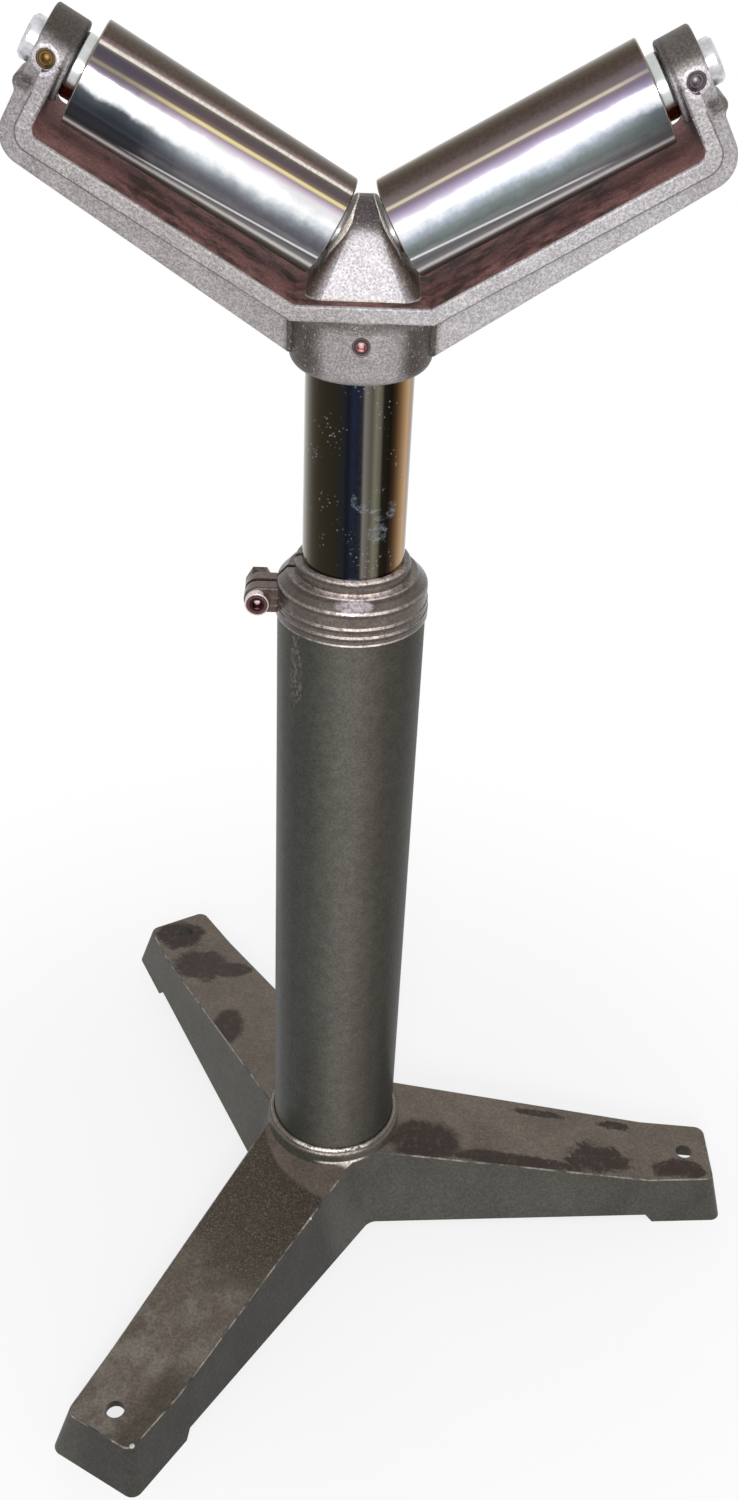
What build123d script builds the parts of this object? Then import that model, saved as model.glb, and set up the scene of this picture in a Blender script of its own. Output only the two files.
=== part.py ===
"""V roller stand: a three-legged cast base, a column with a sliding post, and a V head with two rollers.

The origin is where the column's axis meets the floor. +Z is up and +X runs along one leg.
Lengths are millimetres. The post stands where the photograph shows it, about a quarter of the way up.
"""
from build123d import *
from math import asin, atan2, cos, hypot, radians, sin, tan
import os

# Clearances
SLIDE_GAP = 0.05
FIT_GAP = 0.03
FACE_GAP = 0.1
OVERRUN = 4.0

# Column and post
COLUMN_R = 39.4
COLUMN_WALL = 4.0
GUIDE_WALL = 8.8
POST_R = COLUMN_R - COLUMN_WALL - GUIDE_WALL
POST_WALL = 4.0

# Base casting
LEG_COUNT = 3
BOLT_CIRCLE_R = 242.0
BOLT_HOLE_R = 5.5
FOOT_END = 25.0
FOOT_REACH = BOLT_CIRCLE_R + FOOT_END
FOOT_HEIGHT = 33.0
SOLE_STEP = 5.5
PAD_LENGTH = 52.0
STEP_RUN = 5.0
LEG_ROOT_HALF = 49.8
LEG_END_HALF = 30.7
HUB_TOP = 67.0
LEG_DROP = 3.1
LEG_ROOT_HEIGHT = HUB_TOP - LEG_DROP
LEG_DRAFT = 14.0
LEG_WALL = 6.0
LEG_ROOF = 5.5
FOOT_CORNER_R = 7.0
LEG_EDGE_R = 1.8
ROOT_FILLET_R = 9.0
HUB_WALL = 3.8
HUB_TOP_R = COLUMN_R + HUB_WALL
HUB_DRAFT = 5.0
HUB_FLOOR = 12.0
HUB_EDGE_R = 1.5
BEAD_WIDTH = 2.8
BEAD_HEIGHT = 3.0

# Clamp collar on top of the column
NECK_TOP = 481.0
CAP_HEIGHT = 21.4
COLUMN_TOP = NECK_TOP - CAP_HEIGHT
NECK_WALL = 3.7
NECK_R = POST_R + NECK_WALL
NECK_HEIGHT = 7.0
NECK_EDGE_R = 2.2
FLANGE_STEP = 0.3
FLANGE_R = COLUMN_R + FLANGE_STEP
FLANGE_EDGE_R = 3.0
SHOULDER_SHARE = 0.4
SHOULDER_R = NECK_R + SHOULDER_SHARE * (FLANGE_R - NECK_R)
SHOULDER_DROP = 6.0
SKIRT_STEP = 0.35
SKIRT_BEAD = 4.7
SKIRT_LENGTH = 9.8
SPIGOT_LENGTH = 29.6
SLIT_WIDTH = 3.0
EAR_OUT = 9.7
EAR_REACH = FLANGE_R + EAR_OUT
EAR_DROP = 1.6
EAR_Z = COLUMN_TOP - EAR_DROP
EAR_R = 7.3
EAR_DEPTH = 7.5
EAR_EDGE_R = 1.0

# M8 fasteners
SCREW_R = 4.0
SCREW_PLAY = 0.5
SCREW_HOLE_R = SCREW_R + SCREW_PLAY
SCREW_HEAD_R = 6.5
SCREW_HEAD_HEIGHT = 5.0
SCREW_HEAD_EDGE = 0.6
SCREW_TAIL = 2.0
NUT_FLATS = 13.0
NUT_HEIGHT = 6.5
SOCKET_FLATS = 5.0
SOCKET_DEPTH = 3.0
GRUB_LENGTH = 7.2
GRUB_SOCKET_FLATS = 4.0
GRUB_TIP_EDGE = 0.8
GRUB_SINK_WIDTH = 0.8
GRUB_SINK_R = SCREW_R + GRUB_SINK_WIDTH
GRUB_SINK_DEPTH = 0.9

# Post, with the guide ring that runs inside the column
POST_FOOT = 116.0
GUIDE_LIFT = 4.0
GUIDE_HEIGHT = 20.0
CLIP_THICK = 1.5
CLIP_RADIAL = 3.0
CLIP_SEAT = 0.9
CLIP_OPENING = 9.0

# Axles and rollers
AXLE_TILT = 30.0
AXLE_R = 10.0
AXLE_TIP = 7.2
AXLE_CHAMFER = 1.6
BEARING_R = 21.0
SEAT_WALL = 2.5
ROLLER_R = BEARING_R + SEAT_WALL
ROLLER_IN = 18.1
ROLLER_OUT = 143.1
ROLLER_WALL = 4.0
ROLLER_EDGE = 0.8

# Bearings, 20 x 42 x 12
BEARING_WIDTH = 12.0
BEARING_RECESS = 3.4
INNER_LAND_SHARE = 0.309
INNER_LAND_R = AXLE_R + INNER_LAND_SHARE * (BEARING_R - AXLE_R)
OUTER_LAND_SHARE = 0.7
OUTER_LAND_R = AXLE_R + OUTER_LAND_SHARE * (BEARING_R - AXLE_R)
BALL_PITCH_R = (AXLE_R + BEARING_R) / 2
BALL_SHARE = 0.2646
BALL_R = BALL_SHARE * BEARING_WIDTH
BALL_COUNT = 9
BALL_GAP = 0.05
POCKET_GAP = 0.2
CAGE_HALF_THICK = 0.9
CAGE_INSET = 1.7
CAGE_WIDTH = BEARING_WIDTH - 2 * CAGE_INSET
SHIELD_THICK = 0.5
SHIELD_INSET = 0.4
SHIELD_GAP = 0.3
HOUSING_CLIP_THICK = 1.6
HOUSING_CLIP_RADIAL = 2.8
HOUSING_CLIP_SEAT = 0.8
AXLE_CLIP_THICK = 1.2
AXLE_CLIP_RADIAL = 2.6
AXLE_CLIP_SEAT = 0.5
AXLE_CLIP_OPENING = 5.0

# Head casting
HEAD_LIFT = 142.5
FLOOR_Z = NECK_TOP + HEAD_LIFT
FLOOR_FLAT_HALF = 31.0
FLOOR_GAP_OUT = 2.7
FLOOR_DROP_OUT = ROLLER_R + FLOOR_GAP_OUT
ROLLER_LIFT = 4.9
AXLE_Z = FLOOR_Z + ROLLER_LIFT + ROLLER_R * cos(radians(AXLE_TILT)) - ROLLER_IN * sin(radians(AXLE_TILT))
HUB_HEIGHT = 38.9
HUB_BOTTOM = FLOOR_Z - HUB_HEIGHT
HEAD_HUB_WALL = 8.0
HEAD_HUB_R = POST_R + HEAD_HUB_WALL
HEAD_HUB_EDGE_R = 7.0
SOCKET_ROOF = 8.5
HUB_SCREW_RISE = 20.4
HUB_SCREW_Z = HUB_BOTTOM + HUB_SCREW_RISE
PLATE_HALF = 34.9
PLATE_T = 7.5
PLATE_EDGE_R = 1.2
LUG_GAP = 8.1
LUG_IN = ROLLER_OUT + LUG_GAP
LUG_T = 6.8
LUG_CORNER_R = 9.0
BAY_CORNER_R = 4.5
BOSS_R = 18.5
BOSS_GAP = 5.7
BOSS_IN = ROLLER_OUT + BOSS_GAP
BOSS_LENGTH = 16.1
BOSS_OUT = BOSS_IN + BOSS_LENGTH
BOSS_EDGE_R = 1.4
AXLE_STUB = 6.3
AXLE_END = BOSS_OUT + AXLE_STUB
GRUB_INSET = 9.9
GRUB_PLACE = BOSS_IN + GRUB_INSET
RIB_HALF = 11.0
RIB_STEP = 0.5
RIB_OUT = BOSS_OUT + RIB_STEP
RIB_TOP_DROP = 16.0
RIB_TOP_R = 4.5
RIB_TOP_INSET = 1.8
RIB_NOTCH_R = 4.0
RIB_DROP_OUT = 47.3
RIB_RISE = 7.9
RIB_FOOT_Z = HUB_BOTTOM + RIB_RISE
RIB_CORNER_R = 14.0
RIB_EDGE_R = 2.0
WEDGE_GAP = 3.1
WEDGE_FACE = ROLLER_IN - WEDGE_GAP
WEDGE_FOOT_HALF = 27.0
WEDGE_FOOT_R = 9.0
WEDGE_TOP_R = 3.0

SIDES = {"left": -1, "right": 1}


def arm_point(along, across, side=1):
    """A point of one arm in the front view: along its axle from the centre line, and square to it."""
    x = along * cos(radians(AXLE_TILT)) - across * sin(radians(AXLE_TILT))
    z = AXLE_Z + along * sin(radians(AXLE_TILT)) + across * cos(radians(AXLE_TILT))
    return (side * x, z)


def arm_plane(side, along):
    """The plane square to one axle; its Y runs up from the axle."""
    x, z = arm_point(along, 0, side)
    return Plane(
        origin=(x, 0, z),
        x_dir=(0, side, 0),
        z_dir=(side * cos(radians(AXLE_TILT)), 0, sin(radians(AXLE_TILT))),
    )


def axle_section(side, along):
    """The upright plane through one axle; its X runs up from the axle and its Y along it."""
    x, z = arm_point(along, 0, side)
    return Plane(
        origin=(x, 0, z),
        x_dir=(-side * sin(radians(AXLE_TILT)), 0, cos(radians(AXLE_TILT))),
        z_dir=(0, side, 0),
    )


def axle_line(side):
    """The centre line of one axle."""
    x, z = arm_point(0, 0, side)
    return Axis((x, 0, z), (side * cos(radians(AXLE_TILT)), 0, sin(radians(AXLE_TILT))))


def front_plane(x, y, z):
    """An upright plane that faces the front, with its origin at the given place."""
    return Plane(origin=(x, y, z), x_dir=(1, 0, 0), z_dir=(0, -1, 0))


def hex_radius(flats):
    """The corner radius of a hexagon from the width across its flats."""
    return flats / 2 / cos(radians(30))


def sleeve(plane, outer_r, inner_r, length):
    """A plain round sleeve that starts on a plane."""
    with BuildPart() as piece:
        with BuildSketch(plane):
            Circle(outer_r)
            Circle(inner_r, mode=Mode.SUBTRACT)
        extrude(amount=length)
    return piece.part


def open_clip(plane, outer_r, inner_r, thick, opening):
    """A retaining ring: a flat sleeve with a gap in it."""
    with BuildPart() as piece:
        with BuildSketch(plane):
            Circle(outer_r)
            Circle(inner_r, mode=Mode.SUBTRACT)
            with Locations((0, -outer_r)):
                Rectangle(opening, 2 * (outer_r - inner_r) + opening, mode=Mode.SUBTRACT)
        extrude(amount=thick)
    return piece.part


def grub_screw(plane):
    """A socket set screw whose flat tip lies on the plane."""
    with BuildPart() as piece:
        with BuildSketch(plane):
            Circle(SCREW_R)
        extrude(amount=GRUB_LENGTH)
        chamfer(piece.edges().sort_by(Axis(plane.origin, plane.z_dir))[0], GRUB_TIP_EDGE)
        with BuildSketch(plane.offset(GRUB_LENGTH - SOCKET_DEPTH)):
            RegularPolygon(hex_radius(GRUB_SOCKET_FLATS), 6)
        extrude(amount=SOCKET_DEPTH, mode=Mode.SUBTRACT)
    return piece.part


os.makedirs("parts", exist_ok=True)


# Base: three hollow legs round a hub
pad_start = FOOT_REACH - PAD_LENGTH
leg_narrowing = (LEG_ROOT_HALF - LEG_END_HALF) / FOOT_REACH
leg_falling = (LEG_ROOT_HEIGHT - FOOT_HEIGHT) / pad_start


def leg_block(inset, lowered, start, sole):
    """One leg along +X as a drafted wedge; inset draws its walls in and lowered drops its top."""
    reach = FOOT_REACH - inset
    start_half = LEG_ROOT_HALF - leg_narrowing * start - inset
    end_half = LEG_ROOT_HALF - leg_narrowing * reach - inset
    pad_top = FOOT_HEIGHT - lowered
    with BuildPart() as block:
        with BuildSketch():
            with BuildLine():
                Polyline(
                    (start, -start_half),
                    (reach, -end_half),
                    (reach, end_half),
                    (start, start_half),
                    close=True,
                )
            make_face()
        extrude(amount=LEG_ROOT_HEIGHT + OVERRUN, taper=LEG_DRAFT)
        with BuildSketch(front_plane(0, 0, 0)):
            with BuildLine():
                Polyline(
                    (start, sole),
                    (pad_start, sole),
                    (pad_start + STEP_RUN, 0),
                    (FOOT_REACH, 0),
                    (FOOT_REACH, pad_top),
                    (pad_start, pad_top),
                    (start, LEG_ROOT_HEIGHT - leg_falling * start - lowered),
                    close=True,
                )
            make_face()
        extrude(amount=LEG_ROOT_HALF, both=True, mode=Mode.INTERSECT)
        end_face = block.faces().sort_by(Axis.X)[-1]
        fillet(end_face.edges().sort_by(Axis.Y)[0], FOOT_CORNER_R)
        end_face = block.faces().sort_by(Axis.X)[-1]
        fillet(end_face.edges().sort_by(Axis.Y)[-1], FOOT_CORNER_R)
    return block.part


with BuildPart() as leg_outside:
    add(leg_block(0, 0, 0, SOLE_STEP))
    top_faces = leg_outside.faces().filter_by(lambda face: face.normal_at().Z > cos(radians(LEG_DRAFT)))
    top_edges = top_faces.edges()
    cross_edges = top_edges.filter_by(Axis.Y).sort_by(Axis.X)
    fillet(top_edges - cross_edges[:-1], LEG_EDGE_R)

hub_foot_r = HUB_TOP_R + (HUB_TOP - SOLE_STEP) * tan(radians(HUB_DRAFT))
leg_inside = leg_block(LEG_WALL, LEG_ROOF, hub_foot_r + LEG_WALL, 0)

with BuildPart() as leg_roots:
    with BuildSketch() as root_plan:
        with BuildLine():
            Polyline(
                (0, -LEG_ROOT_HALF),
                (LEG_ROOT_HALF, leg_narrowing * LEG_ROOT_HALF - LEG_ROOT_HALF),
                (LEG_ROOT_HALF, LEG_ROOT_HALF - leg_narrowing * LEG_ROOT_HALF),
                (0, LEG_ROOT_HALF),
                close=True,
            )
        one_root = make_face()
        add([one_root.rotate(Axis.Z, turn * 360 / LEG_COUNT) for turn in range(1, LEG_COUNT)])
        notches = root_plan.vertices().sort_by(lambda corner: hypot(corner.X, corner.Y))[:LEG_COUNT]
        fillet(notches, ROOT_FILLET_R)
    extrude(amount=LEG_ROOT_HEIGHT - leg_falling * hub_foot_r - LEG_EDGE_R, taper=LEG_DRAFT)
    split(bisect_by=Plane.XY.offset(SOLE_STEP), keep=Keep.TOP)

with BuildPart() as base_casting:
    with BuildSketch(Plane.XY.offset(SOLE_STEP)):
        Circle(hub_foot_r)
    extrude(amount=HUB_TOP - SOLE_STEP, taper=HUB_DRAFT)
    fillet(base_casting.edges().sort_by(Axis.Z)[-1], HUB_EDGE_R)
    with PolarLocations(0, LEG_COUNT):
        add(leg_outside.part)
    add(leg_roots.part)
    with PolarLocations(0, LEG_COUNT):
        add(leg_inside, mode=Mode.SUBTRACT)
    with BuildSketch(Plane.XY.offset(HUB_FLOOR)):
        Circle(COLUMN_R + FIT_GAP)
    extrude(amount=HUB_TOP, mode=Mode.SUBTRACT)
    with BuildSketch():
        with PolarLocations(BOLT_CIRCLE_R, LEG_COUNT):
            Circle(BOLT_HOLE_R)
    extrude(amount=FOOT_HEIGHT + OVERRUN, mode=Mode.SUBTRACT)
base_casting.part.label = "base_casting"
export_step(base_casting.part, "parts/base_casting.step")

with BuildPart() as column_tube:
    with BuildSketch(Plane.XY.offset(HUB_FLOOR)):
        Circle(COLUMN_R)
        Circle(COLUMN_R - COLUMN_WALL, mode=Mode.SUBTRACT)
    extrude(amount=COLUMN_TOP - HUB_FLOOR)
column_tube.part.label = "column_tube"
export_step(column_tube.part, "parts/column_tube.step")

with BuildPart() as column_bead:
    with BuildSketch(Plane.XZ):
        with Locations((COLUMN_R, HUB_TOP)):
            Ellipse(BEAD_WIDTH, BEAD_HEIGHT)
        with Locations((COLUMN_R - BEAD_WIDTH / 2, HUB_TOP)):
            Rectangle(BEAD_WIDTH, 2 * BEAD_HEIGHT, mode=Mode.SUBTRACT)
        with Locations((COLUMN_R, HUB_TOP - BEAD_HEIGHT / 2)):
            Rectangle(2 * BEAD_WIDTH, BEAD_HEIGHT, mode=Mode.SUBTRACT)
    revolve(axis=Axis.Z)
column_bead.part.label = "column_bead"
export_step(column_bead.part, "parts/column_bead.step")


# Clamp collar: a cap with a skirt, a spigot inside the tube, and a slit between two ears
shoulder_z = NECK_TOP - NECK_HEIGHT
skirt_foot = COLUMN_TOP - SKIRT_LENGTH
clamp_half = SLIT_WIDTH / 2 + EAR_DEPTH

with BuildPart() as ears:
    with BuildSketch(front_plane(0, 0, 0)):
        with Locations((-EAR_REACH, EAR_Z)):
            Circle(EAR_R)
        with Locations(((POST_R - EAR_REACH) / 2 - POST_R, EAR_Z)):
            Rectangle(EAR_REACH - POST_R, 2 * EAR_R)
    extrude(amount=clamp_half, both=True)
    outer_edges = ears.faces().filter_by(Axis.Y).edges()
    fillet(outer_edges - outer_edges.filter_by(Axis.Z), EAR_EDGE_R)

with BuildPart() as clamp_collar:
    with BuildSketch(Plane.XZ) as cap_outline:
        with BuildLine():
            Polyline(
                (0, NECK_TOP),
                (NECK_R, NECK_TOP),
                (NECK_R, shoulder_z),
                (SHOULDER_R, shoulder_z),
                (FLANGE_R, shoulder_z - SHOULDER_DROP),
                (FLANGE_R, COLUMN_TOP),
                (FLANGE_R + SKIRT_STEP, COLUMN_TOP),
                (FLANGE_R + SKIRT_STEP, COLUMN_TOP - SKIRT_BEAD),
                (FLANGE_R + 2 * SKIRT_STEP, COLUMN_TOP - SKIRT_BEAD),
                (FLANGE_R + 2 * SKIRT_STEP, skirt_foot),
                (0, skirt_foot),
                close=True,
            )
        make_face()
        fillet(cap_outline.vertices().sort_by_distance(Vector(NECK_R, NECK_TOP))[0], NECK_EDGE_R)
        fillet(
            cap_outline.vertices().sort_by_distance(Vector(FLANGE_R, shoulder_z - SHOULDER_DROP))[0],
            FLANGE_EDGE_R,
        )
    revolve(axis=Axis.Z)
    add(ears.part)
    with BuildSketch(Plane.XY.offset(COLUMN_TOP)):
        Circle(COLUMN_R + FIT_GAP)
    extrude(amount=-(SKIRT_LENGTH + EAR_R), mode=Mode.SUBTRACT)
    with BuildSketch(Plane.XY.offset(COLUMN_TOP)):
        Circle(COLUMN_R - COLUMN_WALL - FIT_GAP)
    extrude(amount=-SPIGOT_LENGTH)
    with BuildSketch(Plane.XY.offset(NECK_TOP)):
        Circle(POST_R + SLIDE_GAP)
        with Locations((-EAR_REACH / 2 - EAR_R, 0)):
            Rectangle(EAR_REACH + 2 * EAR_R, SLIT_WIDTH)
    extrude(amount=COLUMN_TOP - SPIGOT_LENGTH - NECK_TOP, mode=Mode.SUBTRACT)
    with BuildSketch(front_plane(-EAR_REACH, 0, EAR_Z)):
        Circle(SCREW_HOLE_R)
    extrude(amount=clamp_half, both=True, mode=Mode.SUBTRACT)
clamp_collar.part.label = "clamp_collar"
export_step(clamp_collar.part, "parts/clamp_collar.step")

with BuildPart() as clamp_screw:
    with BuildSketch(front_plane(-EAR_REACH, -clamp_half, EAR_Z)):
        Circle(SCREW_HEAD_R)
    extrude(amount=SCREW_HEAD_HEIGHT)
    fillet(clamp_screw.edges().sort_by(Axis.Y)[0], SCREW_HEAD_EDGE)
    with BuildSketch(front_plane(-EAR_REACH, -clamp_half - SCREW_HEAD_HEIGHT, EAR_Z)):
        RegularPolygon(hex_radius(SOCKET_FLATS), 6)
    extrude(amount=-SOCKET_DEPTH, mode=Mode.SUBTRACT)
    with BuildSketch(front_plane(-EAR_REACH, -clamp_half, EAR_Z)):
        Circle(SCREW_R)
    extrude(amount=-(2 * clamp_half + NUT_HEIGHT + SCREW_TAIL))
clamp_screw.part.label = "clamp_screw"
export_step(clamp_screw.part, "parts/clamp_screw.step")

with BuildPart() as clamp_nut:
    with BuildSketch(front_plane(-EAR_REACH, clamp_half, EAR_Z)):
        RegularPolygon(hex_radius(NUT_FLATS), 6)
        Circle(SCREW_R + FIT_GAP, mode=Mode.SUBTRACT)
    extrude(amount=-NUT_HEIGHT)
clamp_nut.part.label = "clamp_nut"
export_step(clamp_nut.part, "parts/clamp_nut.step")


# Post: a tube that slides in the collar, with a guide ring between two clips near its foot
guide_z = POST_FOOT + GUIDE_LIFT
post_top = FLOOR_Z - SOCKET_ROOF - FACE_GAP
clip_planes = [
    Plane.XY.offset(guide_z - FACE_GAP - CLIP_THICK),
    Plane.XY.offset(guide_z + GUIDE_HEIGHT + FACE_GAP),
]
clip_inner_r = POST_R - CLIP_SEAT

with BuildPart() as post_tube:
    with BuildSketch(Plane.XY.offset(POST_FOOT)):
        Circle(POST_R)
        Circle(POST_R - POST_WALL, mode=Mode.SUBTRACT)
    extrude(amount=post_top - POST_FOOT)
    for plane in clip_planes:
        groove = sleeve(
            plane.offset(-FIT_GAP),
            POST_R + OVERRUN,
            clip_inner_r - FIT_GAP,
            CLIP_THICK + 2 * FIT_GAP,
        )
        add(groove, mode=Mode.SUBTRACT)
post_tube.part.label = "post_tube"
export_step(post_tube.part, "parts/post_tube.step")

with BuildPart() as post_clips:
    for plane in clip_planes:
        add(open_clip(plane, clip_inner_r + CLIP_RADIAL, clip_inner_r, CLIP_THICK, CLIP_OPENING))
post_clips.part.label = "post_clips"
export_step(post_clips.part, "parts/post_clips.step")

with BuildPart() as post_guide_ring:
    with BuildSketch(Plane.XY.offset(guide_z)):
        Circle(COLUMN_R - COLUMN_WALL - SLIDE_GAP)
        Circle(POST_R + SLIDE_GAP, mode=Mode.SUBTRACT)
    extrude(amount=GUIDE_HEIGHT)
post_guide_ring.part.label = "post_guide_ring"
export_step(post_guide_ring.part, "parts/post_guide_ring.step")


# Head casting: a bent floor plate with a lug at each end, a rib below, a wedge and a hub
lug_out = LUG_IN + LUG_T
floor_end = arm_point(LUG_IN, -FLOOR_DROP_OUT)
slope = atan2(floor_end[1] - FLOOR_Z, floor_end[0] - FLOOR_FLAT_HALF)
mid_floor_z = FLOOR_Z - PLATE_T / 2

with BuildSketch() as tombstone:
    Circle(BOSS_R)
    with Locations((0, -FLOOR_DROP_OUT)):
        Rectangle(2 * PLATE_HALF, PLATE_T, align=(Align.CENTER, Align.MAX))
    make_hull()

with BuildPart() as plate:
    with BuildSketch(front_plane(0, 0, 0)) as plate_outline:
        with BuildLine():
            Polyline(
                (0, FLOOR_Z),
                (FLOOR_FLAT_HALF, FLOOR_Z),
                floor_end,
                arm_point(LUG_IN, 0),
                arm_point(lug_out, 0),
                arm_point(lug_out, -FLOOR_DROP_OUT - PLATE_T),
                (FLOOR_FLAT_HALF + PLATE_T * tan(slope / 2), FLOOR_Z - PLATE_T),
                (0, FLOOR_Z - PLATE_T),
                close=True,
            )
        make_face()
        bay_corner = plate_outline.vertices().sort_by_distance(Vector(*floor_end))[0]
        fillet(bay_corner, BAY_CORNER_R)
        lug_corner = plate_outline.vertices().sort_by_distance(
            Vector(*arm_point(lug_out, -FLOOR_DROP_OUT - PLATE_T))
        )[0]
        fillet(lug_corner, LUG_CORNER_R)
        mirror(about=Plane.YZ)
    extrude(amount=PLATE_HALF, both=True)
    fillet(plate.faces().filter_by(Axis.Y).edges(), PLATE_EDGE_R)
    for side in SIDES.values():
        with BuildSketch(arm_plane(side, LUG_IN - LUG_CORNER_R)) as lug_corners:
            with Locations((0, -FLOOR_DROP_OUT)):
                Rectangle(
                    2 * PLATE_HALF + OVERRUN,
                    FLOOR_DROP_OUT + OVERRUN,
                    align=(Align.CENTER, Align.MIN),
                )
            add(tombstone.sketch, mode=Mode.SUBTRACT)
        extrude(amount=lug_out - LUG_IN + LUG_CORNER_R + OVERRUN, mode=Mode.SUBTRACT)

with BuildPart() as rib:
    with BuildSketch(front_plane(0, 0, 0)) as rib_outline:
        with BuildLine():
            Polyline(
                (0, mid_floor_z),
                (FLOOR_FLAT_HALF, mid_floor_z),
                arm_point(LUG_IN + LUG_T / 2, -FLOOR_DROP_OUT - PLATE_T / 2),
                arm_point(LUG_IN + LUG_T / 2, RIB_TOP_R - RIB_TOP_DROP),
                arm_point(RIB_OUT - RIB_TOP_INSET, RIB_TOP_R - RIB_TOP_DROP),
                arm_point(RIB_OUT - RIB_TOP_INSET, -RIB_TOP_DROP),
                arm_point(RIB_OUT, -RIB_TOP_DROP),
                arm_point(RIB_OUT, -RIB_DROP_OUT),
                (HEAD_HUB_R, RIB_FOOT_Z),
                (0, RIB_FOOT_Z),
                close=True,
            )
        make_face()
        with Locations(arm_point(RIB_OUT - RIB_TOP_INSET, -RIB_TOP_DROP)):
            Circle(RIB_TOP_R)
        rib_corner = rib_outline.vertices().sort_by_distance(Vector(*arm_point(RIB_OUT, -RIB_DROP_OUT)))[0]
        fillet(rib_corner, RIB_CORNER_R)
        rib_notch = rib_outline.vertices().sort_by_distance(
            Vector(*arm_point(RIB_OUT, -RIB_TOP_DROP - RIB_TOP_R))
        )[0]
        fillet(rib_notch, RIB_NOTCH_R)
        mirror(about=Plane.YZ)
    extrude(amount=RIB_HALF, both=True)
    fillet(rib.faces().filter_by(Axis.Y).edges(), RIB_EDGE_R)

wedge_foot = arm_point(WEDGE_FACE, (FLOOR_Z - arm_point(WEDGE_FACE, 0)[1]) / cos(radians(AXLE_TILT)))
wedge_top = arm_point(WEDGE_FACE, BOSS_R)
cap_height = wedge_top[1] - BOSS_R - FLOOR_Z
flank = atan2(WEDGE_FOOT_HALF, cap_height) - asin(BOSS_R / hypot(WEDGE_FOOT_HALF, cap_height))
wedge_top_half = WEDGE_FOOT_HALF - (wedge_top[1] - FLOOR_Z) * tan(flank)

with BuildPart() as rounded_wedge:
    with BuildSketch(Plane.XY.offset(FLOOR_Z)):
        RectangleRounded(2 * (wedge_foot[0] + FACE_GAP), 2 * (WEDGE_FOOT_HALF + FACE_GAP), WEDGE_FOOT_R)
    with BuildSketch(Plane.XY.offset(wedge_top[1])):
        RectangleRounded(2 * (wedge_top[0] + FACE_GAP), 2 * (wedge_top_half + FACE_GAP), WEDGE_TOP_R)
    loft(ruled=True)

with BuildPart() as wedge:
    with BuildSketch(front_plane(0, 0, 0)):
        with BuildLine():
            Polyline(
                (-wedge_foot[0], FLOOR_Z),
                wedge_foot,
                wedge_top,
                (-wedge_top[0], wedge_top[1]),
                close=True,
            )
        make_face()
    extrude(amount=WEDGE_FOOT_HALF, both=True)
    with BuildSketch(Plane.YZ):
        with Locations((0, FLOOR_Z + cap_height)):
            Circle(BOSS_R)
        with Locations((0, FLOOR_Z)):
            Rectangle(2 * WEDGE_FOOT_HALF, PLATE_T, align=(Align.CENTER, Align.MAX))
        make_hull()
    extrude(amount=wedge_foot[0], both=True, mode=Mode.INTERSECT)
    add(rounded_wedge.part, mode=Mode.INTERSECT)


def boss(plane):
    """The round boss at an arm's end that holds the axle."""
    with BuildPart() as piece:
        with BuildSketch(plane):
            Circle(BOSS_R)
        extrude(amount=BOSS_OUT - BOSS_IN)
        fillet(piece.edges().filter_by(GeomType.CIRCLE), BOSS_EDGE_R)
    return piece.part


with BuildPart() as head_casting:
    with BuildSketch(Plane.XY.offset(HUB_BOTTOM)):
        Circle(HEAD_HUB_R)
    extrude(amount=mid_floor_z - HUB_BOTTOM)
    fillet(head_casting.edges().sort_by(Axis.Z)[0], HEAD_HUB_EDGE_R)
    add(plate.part)
    add(rib.part)
    add(wedge.part)
    for side in SIDES.values():
        add(boss(arm_plane(side, BOSS_IN)))
        with BuildSketch(arm_plane(side, AXLE_TIP - FACE_GAP)):
            Circle(AXLE_R + FIT_GAP)
        extrude(amount=BOSS_OUT - AXLE_TIP + OVERRUN, mode=Mode.SUBTRACT)
        grub_x, grub_z = arm_point(GRUB_PLACE, 0, side)
        with BuildSketch(front_plane(grub_x, -AXLE_R, grub_z)):
            Circle(SCREW_R + FIT_GAP)
        extrude(amount=BOSS_R - AXLE_R + OVERRUN, mode=Mode.SUBTRACT)
        with BuildSketch(front_plane(grub_x, GRUB_SINK_DEPTH - BOSS_R, grub_z)):
            Circle(GRUB_SINK_R)
        extrude(amount=OVERRUN, mode=Mode.SUBTRACT)
    with BuildSketch(Plane.XY.offset(HUB_BOTTOM)):
        Circle(POST_R + FIT_GAP)
    extrude(amount=FLOOR_Z - SOCKET_ROOF - HUB_BOTTOM, mode=Mode.SUBTRACT)
    with BuildSketch(front_plane(0, -POST_R, HUB_SCREW_Z)):
        Circle(SCREW_R + FIT_GAP)
    extrude(amount=HEAD_HUB_R - POST_R + OVERRUN, mode=Mode.SUBTRACT)
    with BuildSketch(front_plane(0, GRUB_SINK_DEPTH - HEAD_HUB_R, HUB_SCREW_Z)):
        Circle(GRUB_SINK_R)
    extrude(amount=OVERRUN, mode=Mode.SUBTRACT)
head_casting.part.label = "head_casting"
export_step(head_casting.part, "parts/head_casting.step")

with BuildPart() as post_set_screw:
    add(grub_screw(front_plane(0, -POST_R - FIT_GAP, HUB_SCREW_Z)))
post_set_screw.part.label = "post_set_screw"
export_step(post_set_screw.part, "parts/post_set_screw.step")


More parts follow.
